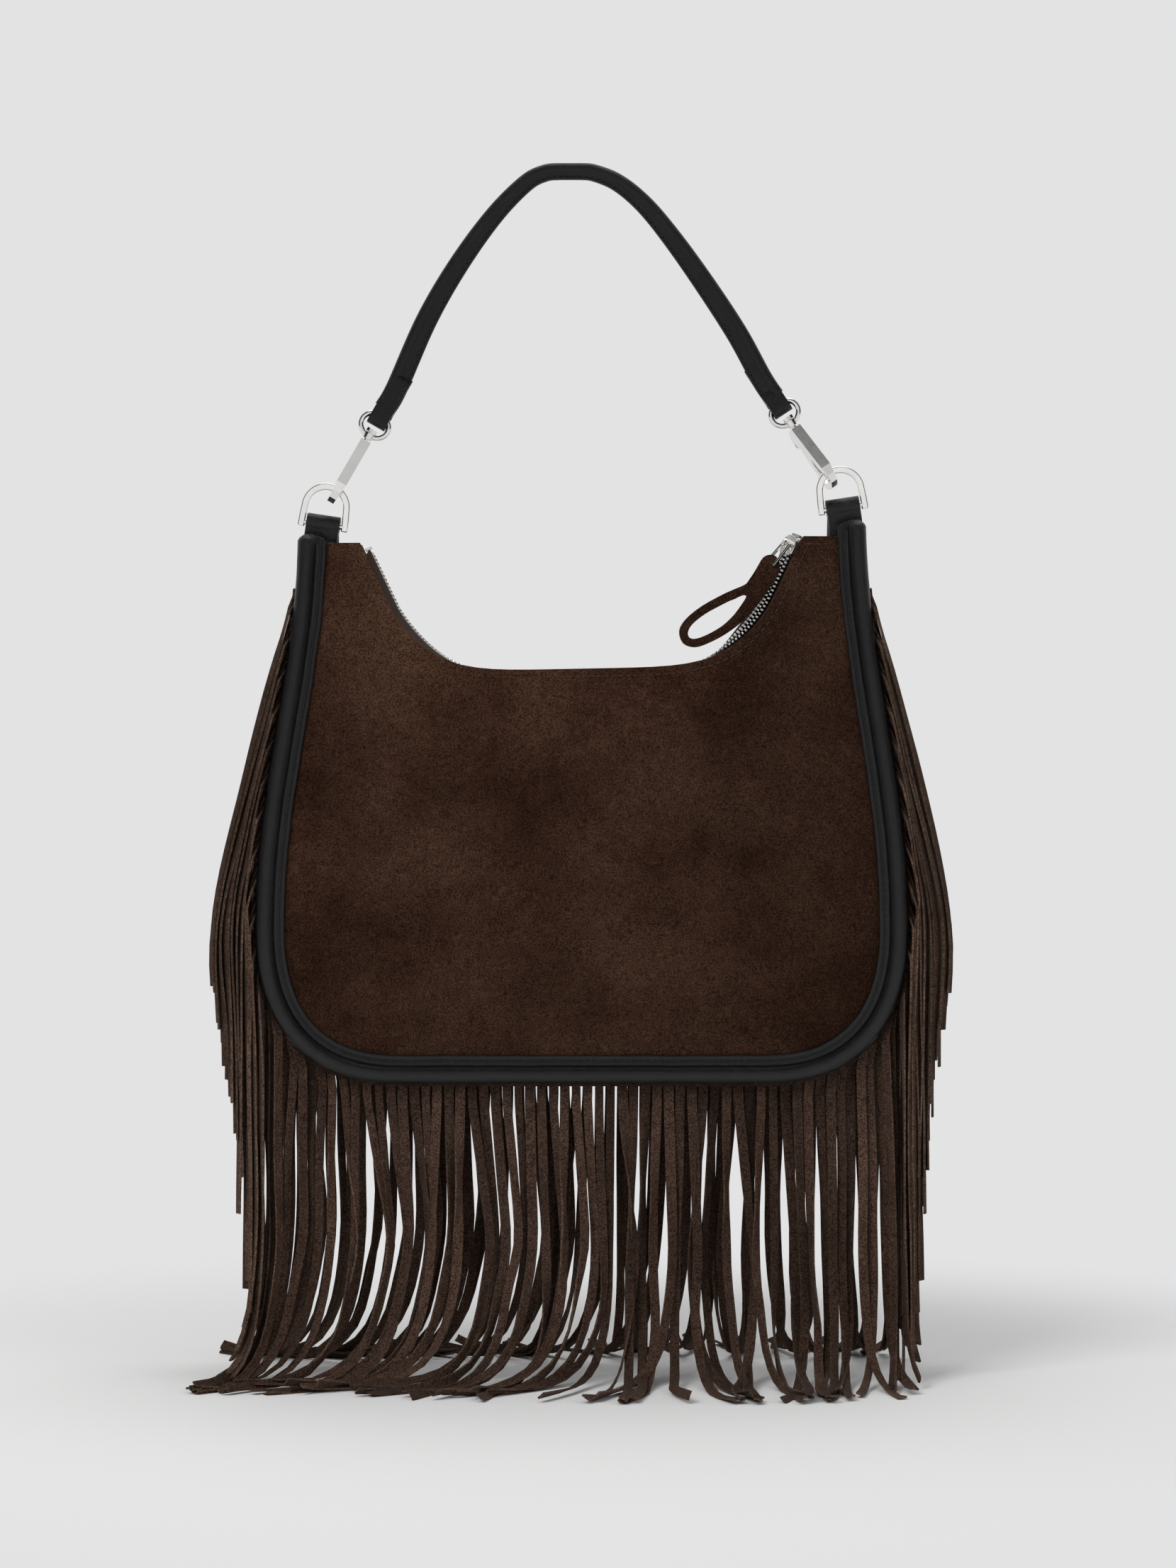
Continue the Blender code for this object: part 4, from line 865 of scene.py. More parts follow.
def side_route(side, k, face, root, start, hang_x):
    """A strip of the bag's flank: over the flare, then straight down to its cut end."""
    knee_z = min(WIDE_Z, start.z - 8 * MM)
    knee = Vector((hang_x, start.y, knee_z))
    depth = half_depth(SEAM.at(HANG[side, k][0])[0].x, knee_z)
    knee.y = face * (depth - (abs(root.y) - abs(start.y)) - HEADER_Y)
    middle = start.lerp(knee, 0.5)
    middle.x += side * CHANCE.uniform(0.6, 2.4) * MM
    drift = stray(SWAY)
    inner = -side * clamp((start.z - knee_z) / (150 * MM)) * 2 * MM
    half_way = Vector((hang_x + drift * 0.4 + inner, knee.y, knee_z - 60 * MM))
    foot = Vector((hang_x + drift + inner * 2, knee.y + stray(2 * MM), knee_z - STRIP_LENGTH))
    return [root, start, middle, knee, half_way, foot]


def strip_line(route):
    """Even points along the smooth way, cut to the strip's length."""
    fine = spline(route, 10)
    reach = [0.0]
    for a, b in zip(fine, fine[1:]):
        reach.append(reach[-1] + (b - a).length)
    total = min(STRIP_LENGTH, reach[-1])
    line = []
    k = 0
    for i in range(STRIP_STEPS + 1):
        want = total * i / STRIP_STEPS
        while k < len(fine) - 2 and reach[k + 1] < want:
            k += 1
        t = (want - reach[k]) / max(reach[k + 1] - reach[k], 1e-9)
        line.append(fine[k].lerp(fine[k + 1], clamp(t)))
    return line


def add_strip(bm, tone, side, k, face):
    """One cut suede strip: it turns and cups a little, and its raw edges are lighter."""
    route, width = strip_route(side, k, face)
    line = strip_line(route)
    # Each strip's tone differs at random; the back layer is darker, painted shade.
    shade = clamp(0.45 + stray(0.25) - (0.18 if k % LAYERS == 2 else 0.0))
    flank = abs(width.y) > 0.5
    base = face * side * CHANCE.uniform(-0.75, -0.15) if flank else 0.0
    seed = CHANCE.uniform(0, 50)
    cup = stray(0.35 * MM)
    narrow = CHANCE.uniform(*NARROWING)
    rows = []
    for i, place in enumerate(line):
        t = i / STRIP_STEPS
        along = (line[min(i + 1, STRIP_STEPS)] - line[max(i - 1, 0)]).normalized()
        thick = along.cross(width).normalized()
        across = thick.cross(along).normalized()
        angle = base * smooth_step(t * 4)
        angle += (0.9 if flank else 2.3) * noise.noise(Vector((seed, t * 2.2, 0))) * smooth_step(t * 3)
        across = across * math.cos(angle) + thick * math.sin(angle)
        thick = along.cross(across).normalized()
        half = STRIP_W / 2 * narrow * (1 + 0.06 * noise.noise(Vector((k * 3.1, i * 0.35, side + face * 2))))
        middle = bag_point(*place)
        ring = []
        for a, b in ((-1, -1), (0, -1), (1, -1), (1, 1), (0, 1), (-1, 1)):
            spot = middle + across * half * a + thick * (STRIP_T / 2 * b + (0.0 if a else cup))
            spot.z = max(spot.z, BAG_Z + FLOOR_Z - 0.1 * MM)
            vert = bm.verts.new(spot)
            # Raw edges a little lighter; darker near the root under the piping, painted shade.
            vert[tone] = clamp(shade + (0.06 if a else 0.0) - 0.1 * (1 - smooth_step(t * 6)))
            ring.append(vert)
        rows.append(ring)
    for low, high in zip(rows, rows[1:]):
        for a in range(6):
            b = (a + 1) % 6
            made = bm.faces.new((low[a], low[b], high[b], high[a]))
            made.material_index = 1 if a in (2, 5) else 0
    for ring in (rows[0], rows[-1]):
        bm.faces.new(ring).material_index = 1


def make_fringe(face):
    """One seam's fringe, in three pieces: a header band in the seam and a strip at each pitch."""
    word = FACE_WORD[face]
    header_in = HEADER_OUT - HEADER_W
    groups = {"left": [], "bottom": [], "right": []}
    for pick in sorted(HANG, key=lambda pick: HANG[pick][0]):
        if SEAM.at(HANG[pick][0])[0].y <= WIDE_Z:
            groups["bottom"].append(pick)
        else:
            groups[SIDE_WORD[pick[0]]].append(pick)
    for part, picks in groups.items():
        bm = bmesh.new()
        tone = bm.verts.layers.float.new("tone")
        low = HANG[picks[0]][0] - STRIP_PITCH / 2 + 0.2 * MM
        high = HANG[picks[-1]][0] + STRIP_PITCH / 2 - 0.2 * MM
        rings = []
        for s in stations(low, high, len(picks) * 2):
            ring = [(header_in, -1), (HEADER_OUT, -1), (HEADER_OUT, 1), (header_in, 1)]
            rings.append([seam_point(s, out, HEADER_Y + way * HEADER_T / 2, face) for out, way in ring])
        loft(rings, bm)
        # The header band in the seam is darker: painted shade.
        for vert in bm.verts:
            vert[tone] = 0.2
        for side, k in picks:
            add_strip(bm, tone, side, k, face)
        for made in bm.faces:
            made.smooth = True
        finishes = ["suede_fringe", "suede_edge"]
        finish_mesh(f"{word}_{part}_strips", bm, finishes, "bag", 50, f"{word}_fringe_{part}")


def make_gusset():
    """The band between the two seams, round the sides and the bottom."""
    low = SEAM.find(FRINGE_TOP, LEFT)
    high = SEAM.find(FRINGE_TOP, RIGHT)
    rings = []
    for s in stations(low, high, 150):
        ring = []
        for layer in (0, 1):
            ways = (-1, -0.5, 0, 0.5, 1) if layer == 0 else (1, 0.5, 0, -0.5, -1)
            for way in ways:
                point, normal = SEAM.at(s)
                sag = (1 - way * way) * (1.2 + 0.8 * noise.noise(Vector((s * 25, way * 2, 1)))) * MM
                out = GUSSET_OUT - sag - layer * GUSSET_T
                place = point + normal * out
                depth = half_depth(point.x, point.y) - HEADER_Y - 0.9 * MM
                ring.append(bag_point(place.x, way * depth, place.y))
        rings.append(ring)
    finish_mesh("gusset_suede", loft(rings), ["suede_plain"], "bag", 60, "gusset")


def chain_point(x):
    """A point of the zip's middle line in the bag's frame, with its tangent, normal and width."""
    step = 0.2 * MM
    along = Vector((2 * step, 0, lip_z(x + step) - lip_z(x - step))).normalized()
    up = Vector((-along.z, 0, along.x))
    rise = mix(-CHAIN_SINK, CHAIN_RISE, smooth_step((abs(x) - 40 * MM) / (40 * MM)))
    roll = CHAIN_ROLL * smooth_step((x - 55 * MM) / (25 * MM))
    normal = up * math.cos(roll) + Vector((0, -1, 0)) * math.sin(roll)
    return Vector((x, 0, lip_z(x))) + up * rise, along, normal, along.cross(normal)


def to_bag(point):
    return bag_point(point.x, point.y, point.z)


def zip_places(pitch):
    """Places along the zip at an even pitch of its own length."""
    x = ROWS_END[LEFT] - lip_end(LEFT)
    end = lip_end(RIGHT) - ROWS_END[RIGHT]
    places = [x]
    while x < end:
        x += pitch * chain_point(x)[1].x
        places.append(min(x, end))
    return places


def make_zip():
    """Interlocking metal teeth, and the two tapes that carry them."""
    places = zip_places(TOOTH_PITCH)
    for face, word in FACE_WORD.items():
        bm = bmesh.new()
        for x in places[1:-1]:
            x += (TOOTH_PITCH / 2 if face == BACK else 0) * chain_point(x)[1].x
            if x > lip_end(RIGHT) - ROWS_END[RIGHT] - 0.6 * MM:
                continue
            centre, along, normal, width = chain_point(x)
            way = 1 if width.y * face > 0 else -1
            rings = []
            for at, grow in ((-0.5, 0.8), (-0.3, 1.0), (0.3, 1.0), (0.5, 0.8)):
                outline = [(ROW_IN, 0.55), (ROW_IN + 0.5 * MM, 0.95), (ROW_OUT, 1.0)]
                ring = []
                for out, tall in outline + [(out, -tall) for out, tall in outline[::-1]]:
                    spot = centre + along * TOOTH_LENGTH * at + width * way * mix(1.5 * MM, out, grow)
                    ring.append(to_bag(spot + normal * tall * ROW_HALF_T * grow))
                rings.append(ring)
            loft(rings, bm)
        finish_mesh(word + "_teeth", bm, ["zip_metal"], "bag", 30, word + "_zip_teeth")
        rings = []
        for x in zip_places(2.5 * MM):
            centre, _, normal, width = chain_point(x)
            way = 1 if width.y * face > 0 else -1
            edge = centre + width * way * TAPE_FROM
            ledge = centre + width * way * TAPE_LEDGE
            drop = lip_z(x) - TAPE_DROP
            depth = panel_depth(x, drop) - PANEL_T - 0.3 * MM - TAPE_T
            foot = Vector((centre.x, face * max(depth, abs(ledge.y) + 0.3 * MM), drop))
            if abs(x) > TAPE_SPREAD_FROM:
                foot.x += math.copysign(TAPE_SPREAD, x)
            out = Vector((0, face, 0))
            half = normal * TAPE_T / 2
            ring = [edge - half, ledge - half, foot - out * 0.1 * MM, foot + out * TAPE_T]
            rings.append([to_bag(spot) for spot in ring + [ledge + half + out * 0.3 * MM, edge + half]])
        finish_mesh(word + "_tape", loft(rings), ["tape"], "bag", 60, word + "_zip_tape")


def hollow_prism(outer, inner, place, layers):
    """A prism with a hole; outer and inner outlines have as many points, place makes 3D."""
    bm = bmesh.new()
    walls = []
    for at in layers:
        walls.append([[bm.verts.new(place(a, b, at)) for a, b in outline] for outline in (outer, inner)])
    count = len(outer)
    for k in range(count):
        j = (k + 1) % count
        for lip, hole in (walls[0], walls[-1]):
            bm.faces.new((lip[k], lip[j], hole[j], hole[k]))
        for near, far in zip(walls, walls[1:]):
            for which in (0, 1):
                bm.faces.new((near[which][k], near[which][j], far[which][j], far[which][k]))
    return bm


def make_puller_loop():
    """The suede loop on the pull link: a slim strip folded round a window."""
    outer = [
        (3.2, 2.4), (0.6, 3.9), (-3.3, 2.6), (-6.2, -2.4), (-9.6, -8.6), (-20.5, -13.7), (-31.2, -19.6),
        (-38.6, -25.6), (-41.6, -31.0), (-39.8, -36.6), (-34.5, -38.4), (-28.5, -36.6), (-20.5, -32.4),
        (-12.4, -26.3), (-5.4, -18.6), (-0.4, -11.6), (3.2, -6.0), (4.4, -1.4),
    ]
    window = [
        (-11.0, -14.9), (-12.0, -14.6), (-13.2, -14.9), (-15.4, -15.9), (-18.4, -17.2), (-22.6, -19.3),
        (-29.8, -23.3), (-35.6, -28.0), (-37.6, -31.8), (-36.6, -34.2), (-33.6, -34.4), (-28.4, -32.4),
        (-22.4, -28.9), (-18.2, -25.2), (-15.4, -22.0), (-13.0, -18.6), (-11.8, -16.8), (-11.2, -15.7),
    ]
    lean = 0.12
    thick = 2.0 * MM

    def place(x, z, y):
        wave = 0.35 * MM * noise.noise(Vector((x * 0.12, z * 0.12, 3)))
        return Vector((x * MM, y + x * MM * lean + wave, z * MM))

    lines = [spline([Vector(point) for point in line], 3, True) for line in (outer, window)]
    bm = hollow_prism(*lines, place, (-thick / 2, thick / 2))
    bm.transform(Matrix.Translation(pull_eye()))
    loop = finish_mesh("puller_suede", bm, ["suede_plain"], "puller_loop", 50, "puller_loop")
    bevel(loop, 0.25 * MM, 50)


def strap_section(height):
    """Section of the strap as (off the crown's side, across): a roll outside, a flange inside."""
    roll_at = height / 2 - STRAP_ROLL_R
    lap = math.asin(STRAP_FLANGE_T / 2 / STRAP_ROLL_R)
    edge = -height / 2
    points = [(edge, 1.1 * MM), (edge + 0.3 * MM, 1.45 * MM)]
    dip = (edge + 1.1 * MM, edge + 1.5 * MM, edge + 1.9 * MM)
    points += [(dip[0], 1.5 * MM), (dip[1], 1.15 * MM), (dip[2], 1.5 * MM)]
    points += arc(STRAP_ROLL_R, math.pi - lap, lap - math.pi, 16, roll_at)
    points += [(dip[2], -1.5 * MM), (dip[1], -1.15 * MM), (dip[0], -1.5 * MM)]
    points += [(edge + 0.3 * MM, -1.45 * MM), (edge, -1.1 * MM)]
    return points


def make_strap():
    """The rolled strap with its stitched flange and its two folded ends."""
    crown = CROWN_H / 2
    rows, centres = [], []
    runs = {}
    for side, run in ((LEFT, LEFT_RUN), (RIGHT, RIGHT_RUN)):
        end, away = STRAP_ENDS[side]
        points = [Vector((side * CROWN_FLAT, 0, crown))]
        points += [Vector((x * MM, 0, z * MM)) for x, z in run]
        points += [end - away * 14 * MM, end - away * 3.4 * MM]
        runs[side] = spline(points, 12)
    line = runs[LEFT][::-1] + runs[RIGHT]
    flat = len(runs[LEFT])
    for k, place in enumerate(line):
        before, after = line[max(k - 1, 0)], line[min(k + 1, len(line) - 1)]
        along = (after - before).normalized()
        height = mix(CROWN_H, END_H, smooth_step(abs(place.x) / (80 * MM)))
        if k in (flat - 1, flat):
            along = Vector((1, 0, 0))
            height = CROWN_H
        off = Vector((-along.z, 0, along.x))
        swell = 0.12 * MM * noise.noise(Vector((k * 0.21, 7, 2)))
        wide = 1 + swell / (2 * MM)
        rows.append([place + off * p + Vector((0, y * wide, 0)) for p, y in strap_section(height)])
        centres.append((place, along, off, height))
    finish_mesh("strap_roll", loft(rows), ["strap"], "strap", 70, "strap")
    bm = bmesh.new()
    left_over = 0.0
    for (a, along, off, height), (b, _, _, _) in zip(centres, centres[1:]):
        run = (b - a).length
        at = left_over
        while at < run:
            place = a.lerp(b, at / run) - off * (height / 2 - STRAP_STITCH_IN)
            if min((place - centres[k][0]).length for k in (0, -1)) > STRAP_STITCH_FROM:
                for face in (FRONT, BACK):
                    out = Vector((0, face, 0))
                    add_stitch(bm, place + out * STRAP_STITCH_OUT, along, out)
            at += STITCH_PITCH
        left_over = at - run
    finish_mesh("strap_stitches", bm, ["black_thread"], "strap")
    for side in (LEFT, RIGHT):
        make_fold(side)


def make_fold(side):
    """A strap end folded through its eye ring, lying back on the strap and stitched."""
    end, away = STRAP_ENDS[side]
    across = Vector((0, 1, 0))
    count = 32
    wall = FOLD_HOLE_R + FOLD_LEATHER
    inner = []
    for k in range(count):
        angle = -math.pi / 2 + 2 * math.pi * k / count
        a = FOLD_HOLE_R * math.cos(angle) + (FOLD_SLOT if math.cos(angle) > 0.01 else 0)
        inner.append((a, FOLD_HOLE_R * math.sin(angle)))
    outer = arc(wall, -math.pi / 2, math.pi / 2, 16, FOLD_SLOT)
    lap = STRAP_ROLL_R + 0.2 * MM
    high = lap if side == RIGHT else 1.2 * MM
    low = -lap if side == LEFT else -1.2 * MM

    def flank(way, level):
        """One face of the fold, from the ring back to its cut end."""
        run = [(-4 * MM, mix(way * wall, level, 0.3)), (-6.5 * MM, mix(way * wall, level, 0.8))]
        run += [(-9 * MM, level), (-13 * MM, level), (-17 * MM, level)]
        return run + [(-FOLD_BACK, level * 0.9), (-FOLD_BACK - 1.4 * MM, level * 0.5)]

    outer += [(-2 * MM, wall)] + flank(1, high) + flank(-1, low)[::-1]
    width = Vector((away.z, 0, -away.x)) * (1 if side == LEFT else -1)

    def place(a, y, p):
        return end + away * a + across * y + width * (p - 0.4 * MM)

    bm = hollow_prism(outer, inner, place, (-FOLD_W / 2, -1.5 * MM, 1.5 * MM, FOLD_W / 2))
    word = SIDE_WORD[side]
    fold = finish_mesh(word + "_strap_fold", bm, ["strap"], "strap", 50)
    bevel(fold, 0.5 * MM, 40, 3)
    bm = bmesh.new()
    for k in range(4):
        for edge in (-FOLD_STITCH_AT, FOLD_STITCH_AT):
            for way in (high, low):
                spot = place((-7.5 - 3 * k) * MM, way, edge)
                add_stitch(bm, spot, away, across * math.copysign(1, way))
    finish_mesh(word + "_fold_stitches", bm, ["black_thread"], "strap")


def ring_frame(side):
    """The D-ring's axes at the middle of its bar, tilted towards the strap's pull."""
    x, z = BAR_AT[side]
    return Matrix.Translation(bag_point(x, 0, z)) @ Matrix.Rotation(RING_TILT[side], 4, "Y")


def seat_point(side):
    """The middle of the D-ring's band where the hook holds it."""
    angle = SEAT_ANGLE[side]
    spot = Vector((RING_ARC_R * math.sin(angle), 0, RING_ARC_Z + RING_ARC_R * math.cos(angle)))
    return ring_frame(side) @ spot


def hook_frame(side):
    """The hook's axes at the top of its body: x to its spine, y through it, z up to the eye ring."""
    seat = seat_point(side)
    up = (ROUGH_EYE[side] - seat).normalized()
    flat_right = Vector((0, 1, 0)).cross(up).normalized()
    turn = HOOK_TURN[side]
    spine = flat_right * math.cos(turn) + Vector((0, -1, 0)) * math.sin(turn)
    axes = Matrix((spine, up.cross(spine), up)).transposed().to_4x4()
    return Matrix.Translation(seat + up * SEAT_W - spine * SEAT_U) @ axes


def eye_frame(side):
    """The eye ring's axes at its centre: z along the hook, the ring facing the front."""
    hook = hook_frame(side)
    up = (hook.to_3x3() @ Vector((0, 0, 1))).normalized()
    right = Vector((0, 1, 0)).cross(up).normalized()
    axes = Matrix((right, up.cross(right), up)).transposed().to_4x4()
    return Matrix.Translation(hook.translation + up * (0.3 * MM + BOSS_HALF_H + EYE_HALF_H)) @ axes


def strap_end(side):
    """The top of the eye ring's wire, and the way the hook hangs from it."""
    eye = eye_frame(side)
    up = (eye.to_3x3() @ Vector((0, 0, 1))).normalized()
    return eye.translation + up * EYE_HALF_H, -up


def pull_eye():
    """The middle of the pull link's far end, where the suede loop hangs."""
    centre, along, normal, _ = chain_point(SLIDER_X)
    pin = to_bag(centre) + normal * LUG_Z
    pin_axis = normal.cross(-along).normalized()
    down = Vector((-0.62, -0.2, -0.76))
    down = (down - pin_axis * down.dot(pin_axis)).normalized()
    return pin + down * PULL_LENGTH


def swept_ring(path, section, closed=False, bm=None):
    """Sweeps a section round a flat path in x and z; section pairs are (out, through)."""
    rings = []
    count = len(path)
    for k, (x, z) in enumerate(path):
        if closed:
            before, after = path[k - 1], path[(k + 1) % count]
        else:
            before, after = path[max(k - 1, 0)], path[min(k + 1, count - 1)]
        along = Vector((after[0] - before[0], 0, after[1] - before[1])).normalized()
        out = Vector((-along.z, 0, along.x))
        rings.append([Vector((x, 0, z)) + out * a + Vector((0, b, 0)) for a, b in section])
    return loft(rings, bm, closed)


def rod(start, end, radius, sides, bm=None):
    """A round rod between two points."""
    axis = (end - start).normalized()
    across = axis.orthogonal().normalized()
    other = axis.cross(across)
    turn = 2 * math.pi / sides
    wheel = [(across * math.cos(turn * k) + other * math.sin(turn * k)) * radius for k in range(sides)]
    return loft([[point + spoke for spoke in wheel] for point in (start, end)], bm)


def make_d_ring(side):
    """A square band bent to an arch, with its round bar."""
    path = [(-RING_HALF_W, -RING_FOOT), (-RING_HALF_W, -RING_FOOT / 3), (-RING_HALF_W + 0.1 * MM, 3 * MM)]
    path += arc(RING_ARC_R, math.pi, 0.0, 40, 0.0, RING_ARC_Z)
    path += [(RING_HALF_W - 0.1 * MM, 3 * MM), (RING_HALF_W, -RING_FOOT / 3), (RING_HALF_W, -RING_FOOT)]
    a, b = RING_BAND / 2, RING_DEPTH / 2
    section = [(-a, -b), (a, -b), (a, b), (-a, b)]
    bm = swept_ring(path, section)
    rod(Vector((-RING_HALF_W, 0, 0)), Vector((RING_HALF_W, 0, 0)), BAR_R, 24, bm)
    word = SIDE_WORD[side]
    bm.transform(ring_frame(side))
    node = word + "_d_ring"
    bevel(finish_mesh(word + "_ring_band", bm, ["nickel"], node, 35, node), 0.6 * MM, 40, 4)


def make_eye_ring(side):
    """An oval wire ring standing on its boss."""
    path = []
    for k in range(48):
        angle = -2 * math.pi * (k + 0.5) / 48
        path.append((EYE_HALF_W * math.sin(angle), EYE_HALF_H * math.cos(angle)))
    bm = swept_ring(path, arc(EYE_WIRE_R, 0.0, 2 * math.pi, 16)[:-1], True)
    boss = [Vector((0, 0, way * BOSS_HALF_H - EYE_HALF_H)) for way in (-1, 1)]
    rod(*boss, BOSS_R, 24, bm)
    word = SIDE_WORD[side]
    bm.transform(eye_frame(side))
    bevel(finish_mesh(word + "_eye", bm, ["nickel"], "strap", 35, word + "_eye_ring"), 0.2 * MM, 50)


def make_tab(side):
    """Folded leather over the D-ring's bar, with a pressed line under it and a row of stitches."""
    bar_x, bar_z = BAR_AT[side]
    outer_r = BAR_HOLE_R + TAB_LEATHER
    end = TAB_END_Z - bar_z
    neck = -outer_r - 3.5 * MM
    outer = arc(outer_r, -0.2 * math.pi, 1.2 * math.pi, 30)
    flank = [(-TAB_HALF_T - 0.25 * MM, neck + 1.6 * MM), (-TAB_HALF_T + 0.25 * MM, neck + 0.7 * MM)]
    flank += [(-TAB_HALF_T + 0.25 * MM, neck + 0.3 * MM), (-TAB_HALF_T, neck - 0.5 * MM)]
    flank += [(-TAB_HALF_T, mix(neck, end, 0.5)), (-TAB_HALF_T, end)]
    outer += flank + [(-y, z) for y, z in flank[::-1]]
    inner = []
    for k, (y, z) in enumerate(outer):
        angle = math.atan2(z, y)
        if k > 30:
            angle = mix(1.2 * math.pi, 1.8 * math.pi, (k - 30) / 13)
        inner.append((BAR_HOLE_R * math.cos(angle), BAR_HOLE_R * math.sin(angle)))

    def place(y, z, x):
        lean = RING_TILT[side] * clamp((z - end) / (neck - end))
        across = x * math.cos(lean) + z * math.sin(lean)
        return bag_point(bar_x + across, y, bar_z + z * math.cos(lean) - x * math.sin(lean))

    half = TAB_W / 2
    bm = hollow_prism(outer, inner, place, (-half, -half + MM, 0, half - MM, half))
    word = SIDE_WORD[side]
    tab = finish_mesh(word + "_tab_leather", bm, ["piping"], "bag", 50, word + "_tab")
    bevel(tab, 0.35 * MM, 50)
    bm = bmesh.new()
    for face in (FRONT, BACK):
        for k in range(5):
            x = (k - 2) * TAB_STITCH_PITCH
            here = place(face * TAB_HALF_T, neck - 2.2 * MM, x)
            there = place(face * TAB_HALF_T, neck - 2.2 * MM, x + MM)
            add_stitch(bm, here, (there - here).normalized(), Vector((0, face, 0)), 2.0 * MM)
    finish_mesh(word + "_tab_stitches", bm, ["black_thread"], "bag")


def dress_metal(frame):
    """Polished finishes and rounded edges for the small metal pieces."""
    plated = ["left_hook", "right_hook", "left_gate", "right_gate", "left_gate_pin", "right_gate_pin"]
    plated += ["zip_slider", "zip_pull"]
    for name in plated + ["zip_top_stop", "zip_bottom_stop"]:
        metal_word = "nickel" if name in plated else "zip_metal"
        node = frame["nodes"][name]
        node.data.materials.clear()
        node.data.materials.append(FINISH[metal_word])
        weld = node.modifiers.new("weld", "WELD")
        weld.merge_threshold = 0.00001
        bevel(node, 0.5 * MM if "hook" in name else 0.2 * MM, 38, 3)


def make_stage():
    """A pale floor that sweeps up behind the bag; away from the bag it shows one even tone."""
    made = Layout("pale_paper")
    made.set(Roughness=0.9, Specular_IOR_Level=0.1, Base_Color=(0.84, 0.835, 0.83, 1))
    glow = made.add("ShaderNodeEmission", Strength=1.0, Color=PALE_TONE)
    rays = made.add("ShaderNodeLightPath").outputs
    seen = made.calc("MAXIMUM", rays["Is Camera Ray"], rays["Is Glossy Ray"])
    place = made.add("ShaderNodeVectorMath", operation="DISTANCE")
    made.link(made.place(), place.inputs[0])
    floor = BAG_Z + FLOOR_Z
    place.inputs[1].default_value = (0, 0, floor)
    far = made.add("ShaderNodeMapRange", interpolation_type="SMOOTHSTEP", From_Min=0.2, From_Max=0.5)
    made.link(place.outputs["Value"], far.inputs["Value"])
    share = made.calc("MULTIPLY", seen, far.outputs["Result"])
    made.link(made.blend(share, made.shader.outputs[0], glow.outputs[0]), made.end)
    profile = [(-SWEEP_HALF, floor)]
    profile += arc(SWEEP_R, -math.pi / 2, 0.0, 12, SWEEP_BACK, floor + SWEEP_R)
    profile.append((SWEEP_BACK + SWEEP_R, SWEEP_TOP))
    bm = bmesh.new()
    rows = [[bm.verts.new((x, y, z)) for y, z in profile] for x in (-SWEEP_HALF, SWEEP_HALF)]
    for k in range(len(profile) - 1):
        bm.faces.new((rows[0][k], rows[1][k], rows[1][k + 1], rows[0][k + 1]))
    add_object("floor_sweep", bm, [made.owner])


def add_softbox(name, place, aim, size, power, mirrored):
    """A large square lamp aimed at a point; mirrored says whether gloss shows it."""
    lamp = bpy.data.lights.new(name, "AREA")
    lamp.shape = "SQUARE"
    lamp.size = size
    lamp.energy = power
    obj = bpy.data.objects.new(name, lamp)
    obj.location = place
    obj.rotation_euler = (Vector(aim) - Vector(place)).to_track_quat("-Z", "Y").to_euler()
    obj.visible_glossy = mirrored
    bpy.context.scene.collection.objects.link(obj)


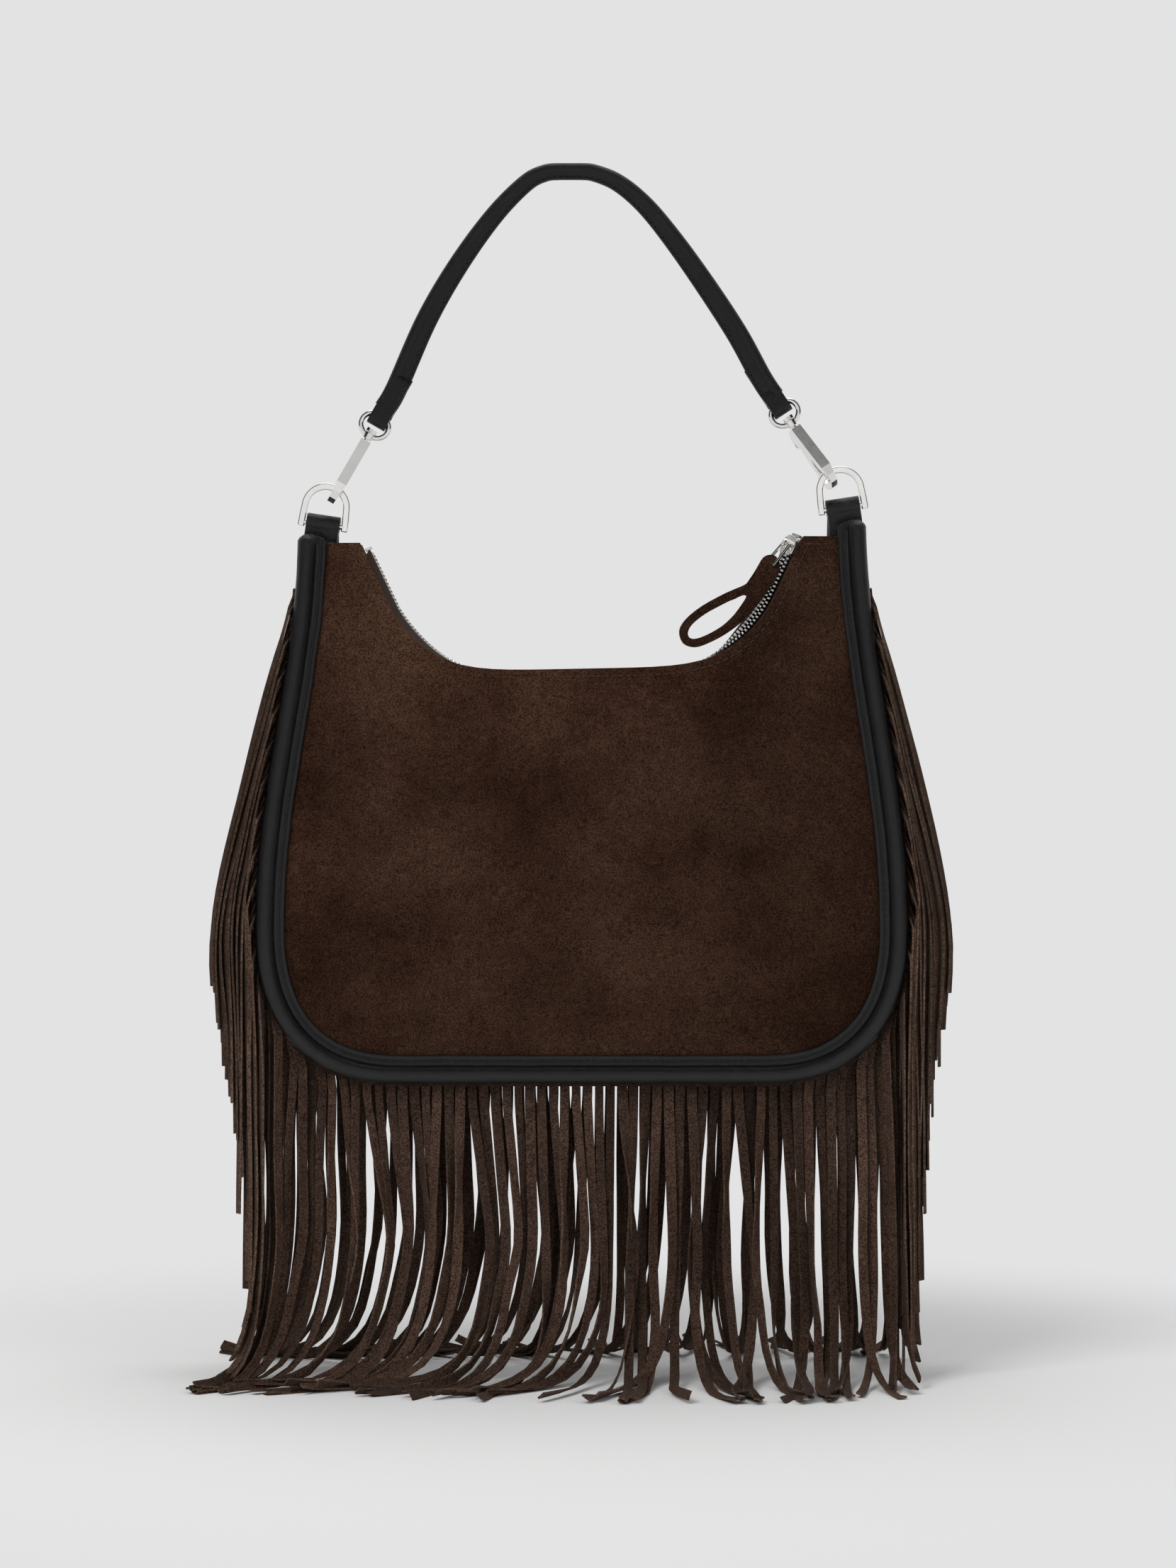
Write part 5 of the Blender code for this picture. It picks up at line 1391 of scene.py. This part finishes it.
def make_studio_air():
    """Soft light from all round, and what gloss mirrors.

    Gloss shows a bright patch behind the camera, a dark band round it and a pale room beyond.
    """
    made = Layout("studio_air", world=True)
    made.set(Color=(0.97, 0.985, 1.0, 1), Strength=0.32)
    rays = made.add("ShaderNodeLightPath").outputs
    way = made.add("ShaderNodeSeparateXYZ")
    made.link(made.add("ShaderNodeTexCoord").outputs["Generated"], way.inputs[0])
    turned = made.calc("MULTIPLY_ADD", way.outputs["Y"], 0.5, 0.5)
    levels = [(0.0, 0.98), (0.012, 0.58), (0.11, 0.62), (0.15, 0.02), (0.5, 0.02), (0.66, 0.768)]
    mirrored = made.add("ShaderNodeBackground")
    made.link(made.ramp(turned, [(at, (level,) * 3) for at, level in levels]), mirrored.inputs["Color"])
    pale = made.add("ShaderNodeBackground", Color=PALE_TONE)
    last = made.shader.outputs[0]
    seen_by = {"Is Glossy Ray": mirrored, "Is Transmission Ray": pale, "Is Camera Ray": pale}
    for flag, shade in seen_by.items():
        last = made.blend(rays[flag], last, shade.outputs[0])
    made.link(last, made.end)
    return made.owner


def make_studio():
    scene = bpy.context.scene
    scene.view_settings.view_transform = "Standard"
    scene.world = make_studio_air()
    add_softbox("key_softbox", (-1.0, -1.5, 1.1), (0, 0, -0.3), 1.1, 27, False)
    add_softbox("fill_softbox", (1.5, -1.3, 0.2), (0, 0, -0.3), 1.4, 8, False)
    add_softbox("top_softbox", (0.1, 0.3, 1.5), (0, 0, -0.4), 1.4, 12, True)
    data = bpy.data.cameras.new("camera")
    data.sensor_width = SENSOR
    data.lens = SENSOR * CAMERA_AWAY / (PHOTO_H * PIXEL)
    camera = bpy.data.objects.new("camera", data)
    x = (PHOTO_W / 2 - CROWN_PX[0]) * PIXEL
    z = -(PHOTO_H / 2 - CROWN_PX[1]) * PIXEL
    camera.location = (x, SCALE_Y - CAMERA_AWAY, z)
    camera.rotation_euler = (math.pi / 2, 0, 0)
    scene.collection.objects.link(camera)
    scene.camera = camera


STRAP_ENDS = {side: strap_end(side) for side in (LEFT, RIGHT)}

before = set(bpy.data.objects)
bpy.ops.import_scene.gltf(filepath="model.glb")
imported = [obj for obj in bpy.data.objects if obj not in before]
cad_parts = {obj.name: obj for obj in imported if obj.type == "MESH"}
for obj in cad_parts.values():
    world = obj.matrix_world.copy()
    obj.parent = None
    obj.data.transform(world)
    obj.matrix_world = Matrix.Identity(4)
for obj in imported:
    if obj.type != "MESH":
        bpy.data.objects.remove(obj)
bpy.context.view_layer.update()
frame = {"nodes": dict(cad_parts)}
FINISH = make_materials()
for face in (FRONT, BACK):
    make_panel(face)
    make_piping(face)
    make_fringe(face)
make_gusset()
make_zip()
make_puller_loop()
make_strap()
for side in (LEFT, RIGHT):
    make_tab(side)
    make_d_ring(side)
    make_eye_ring(side)
dress_metal(frame)
make_stage()
make_studio()
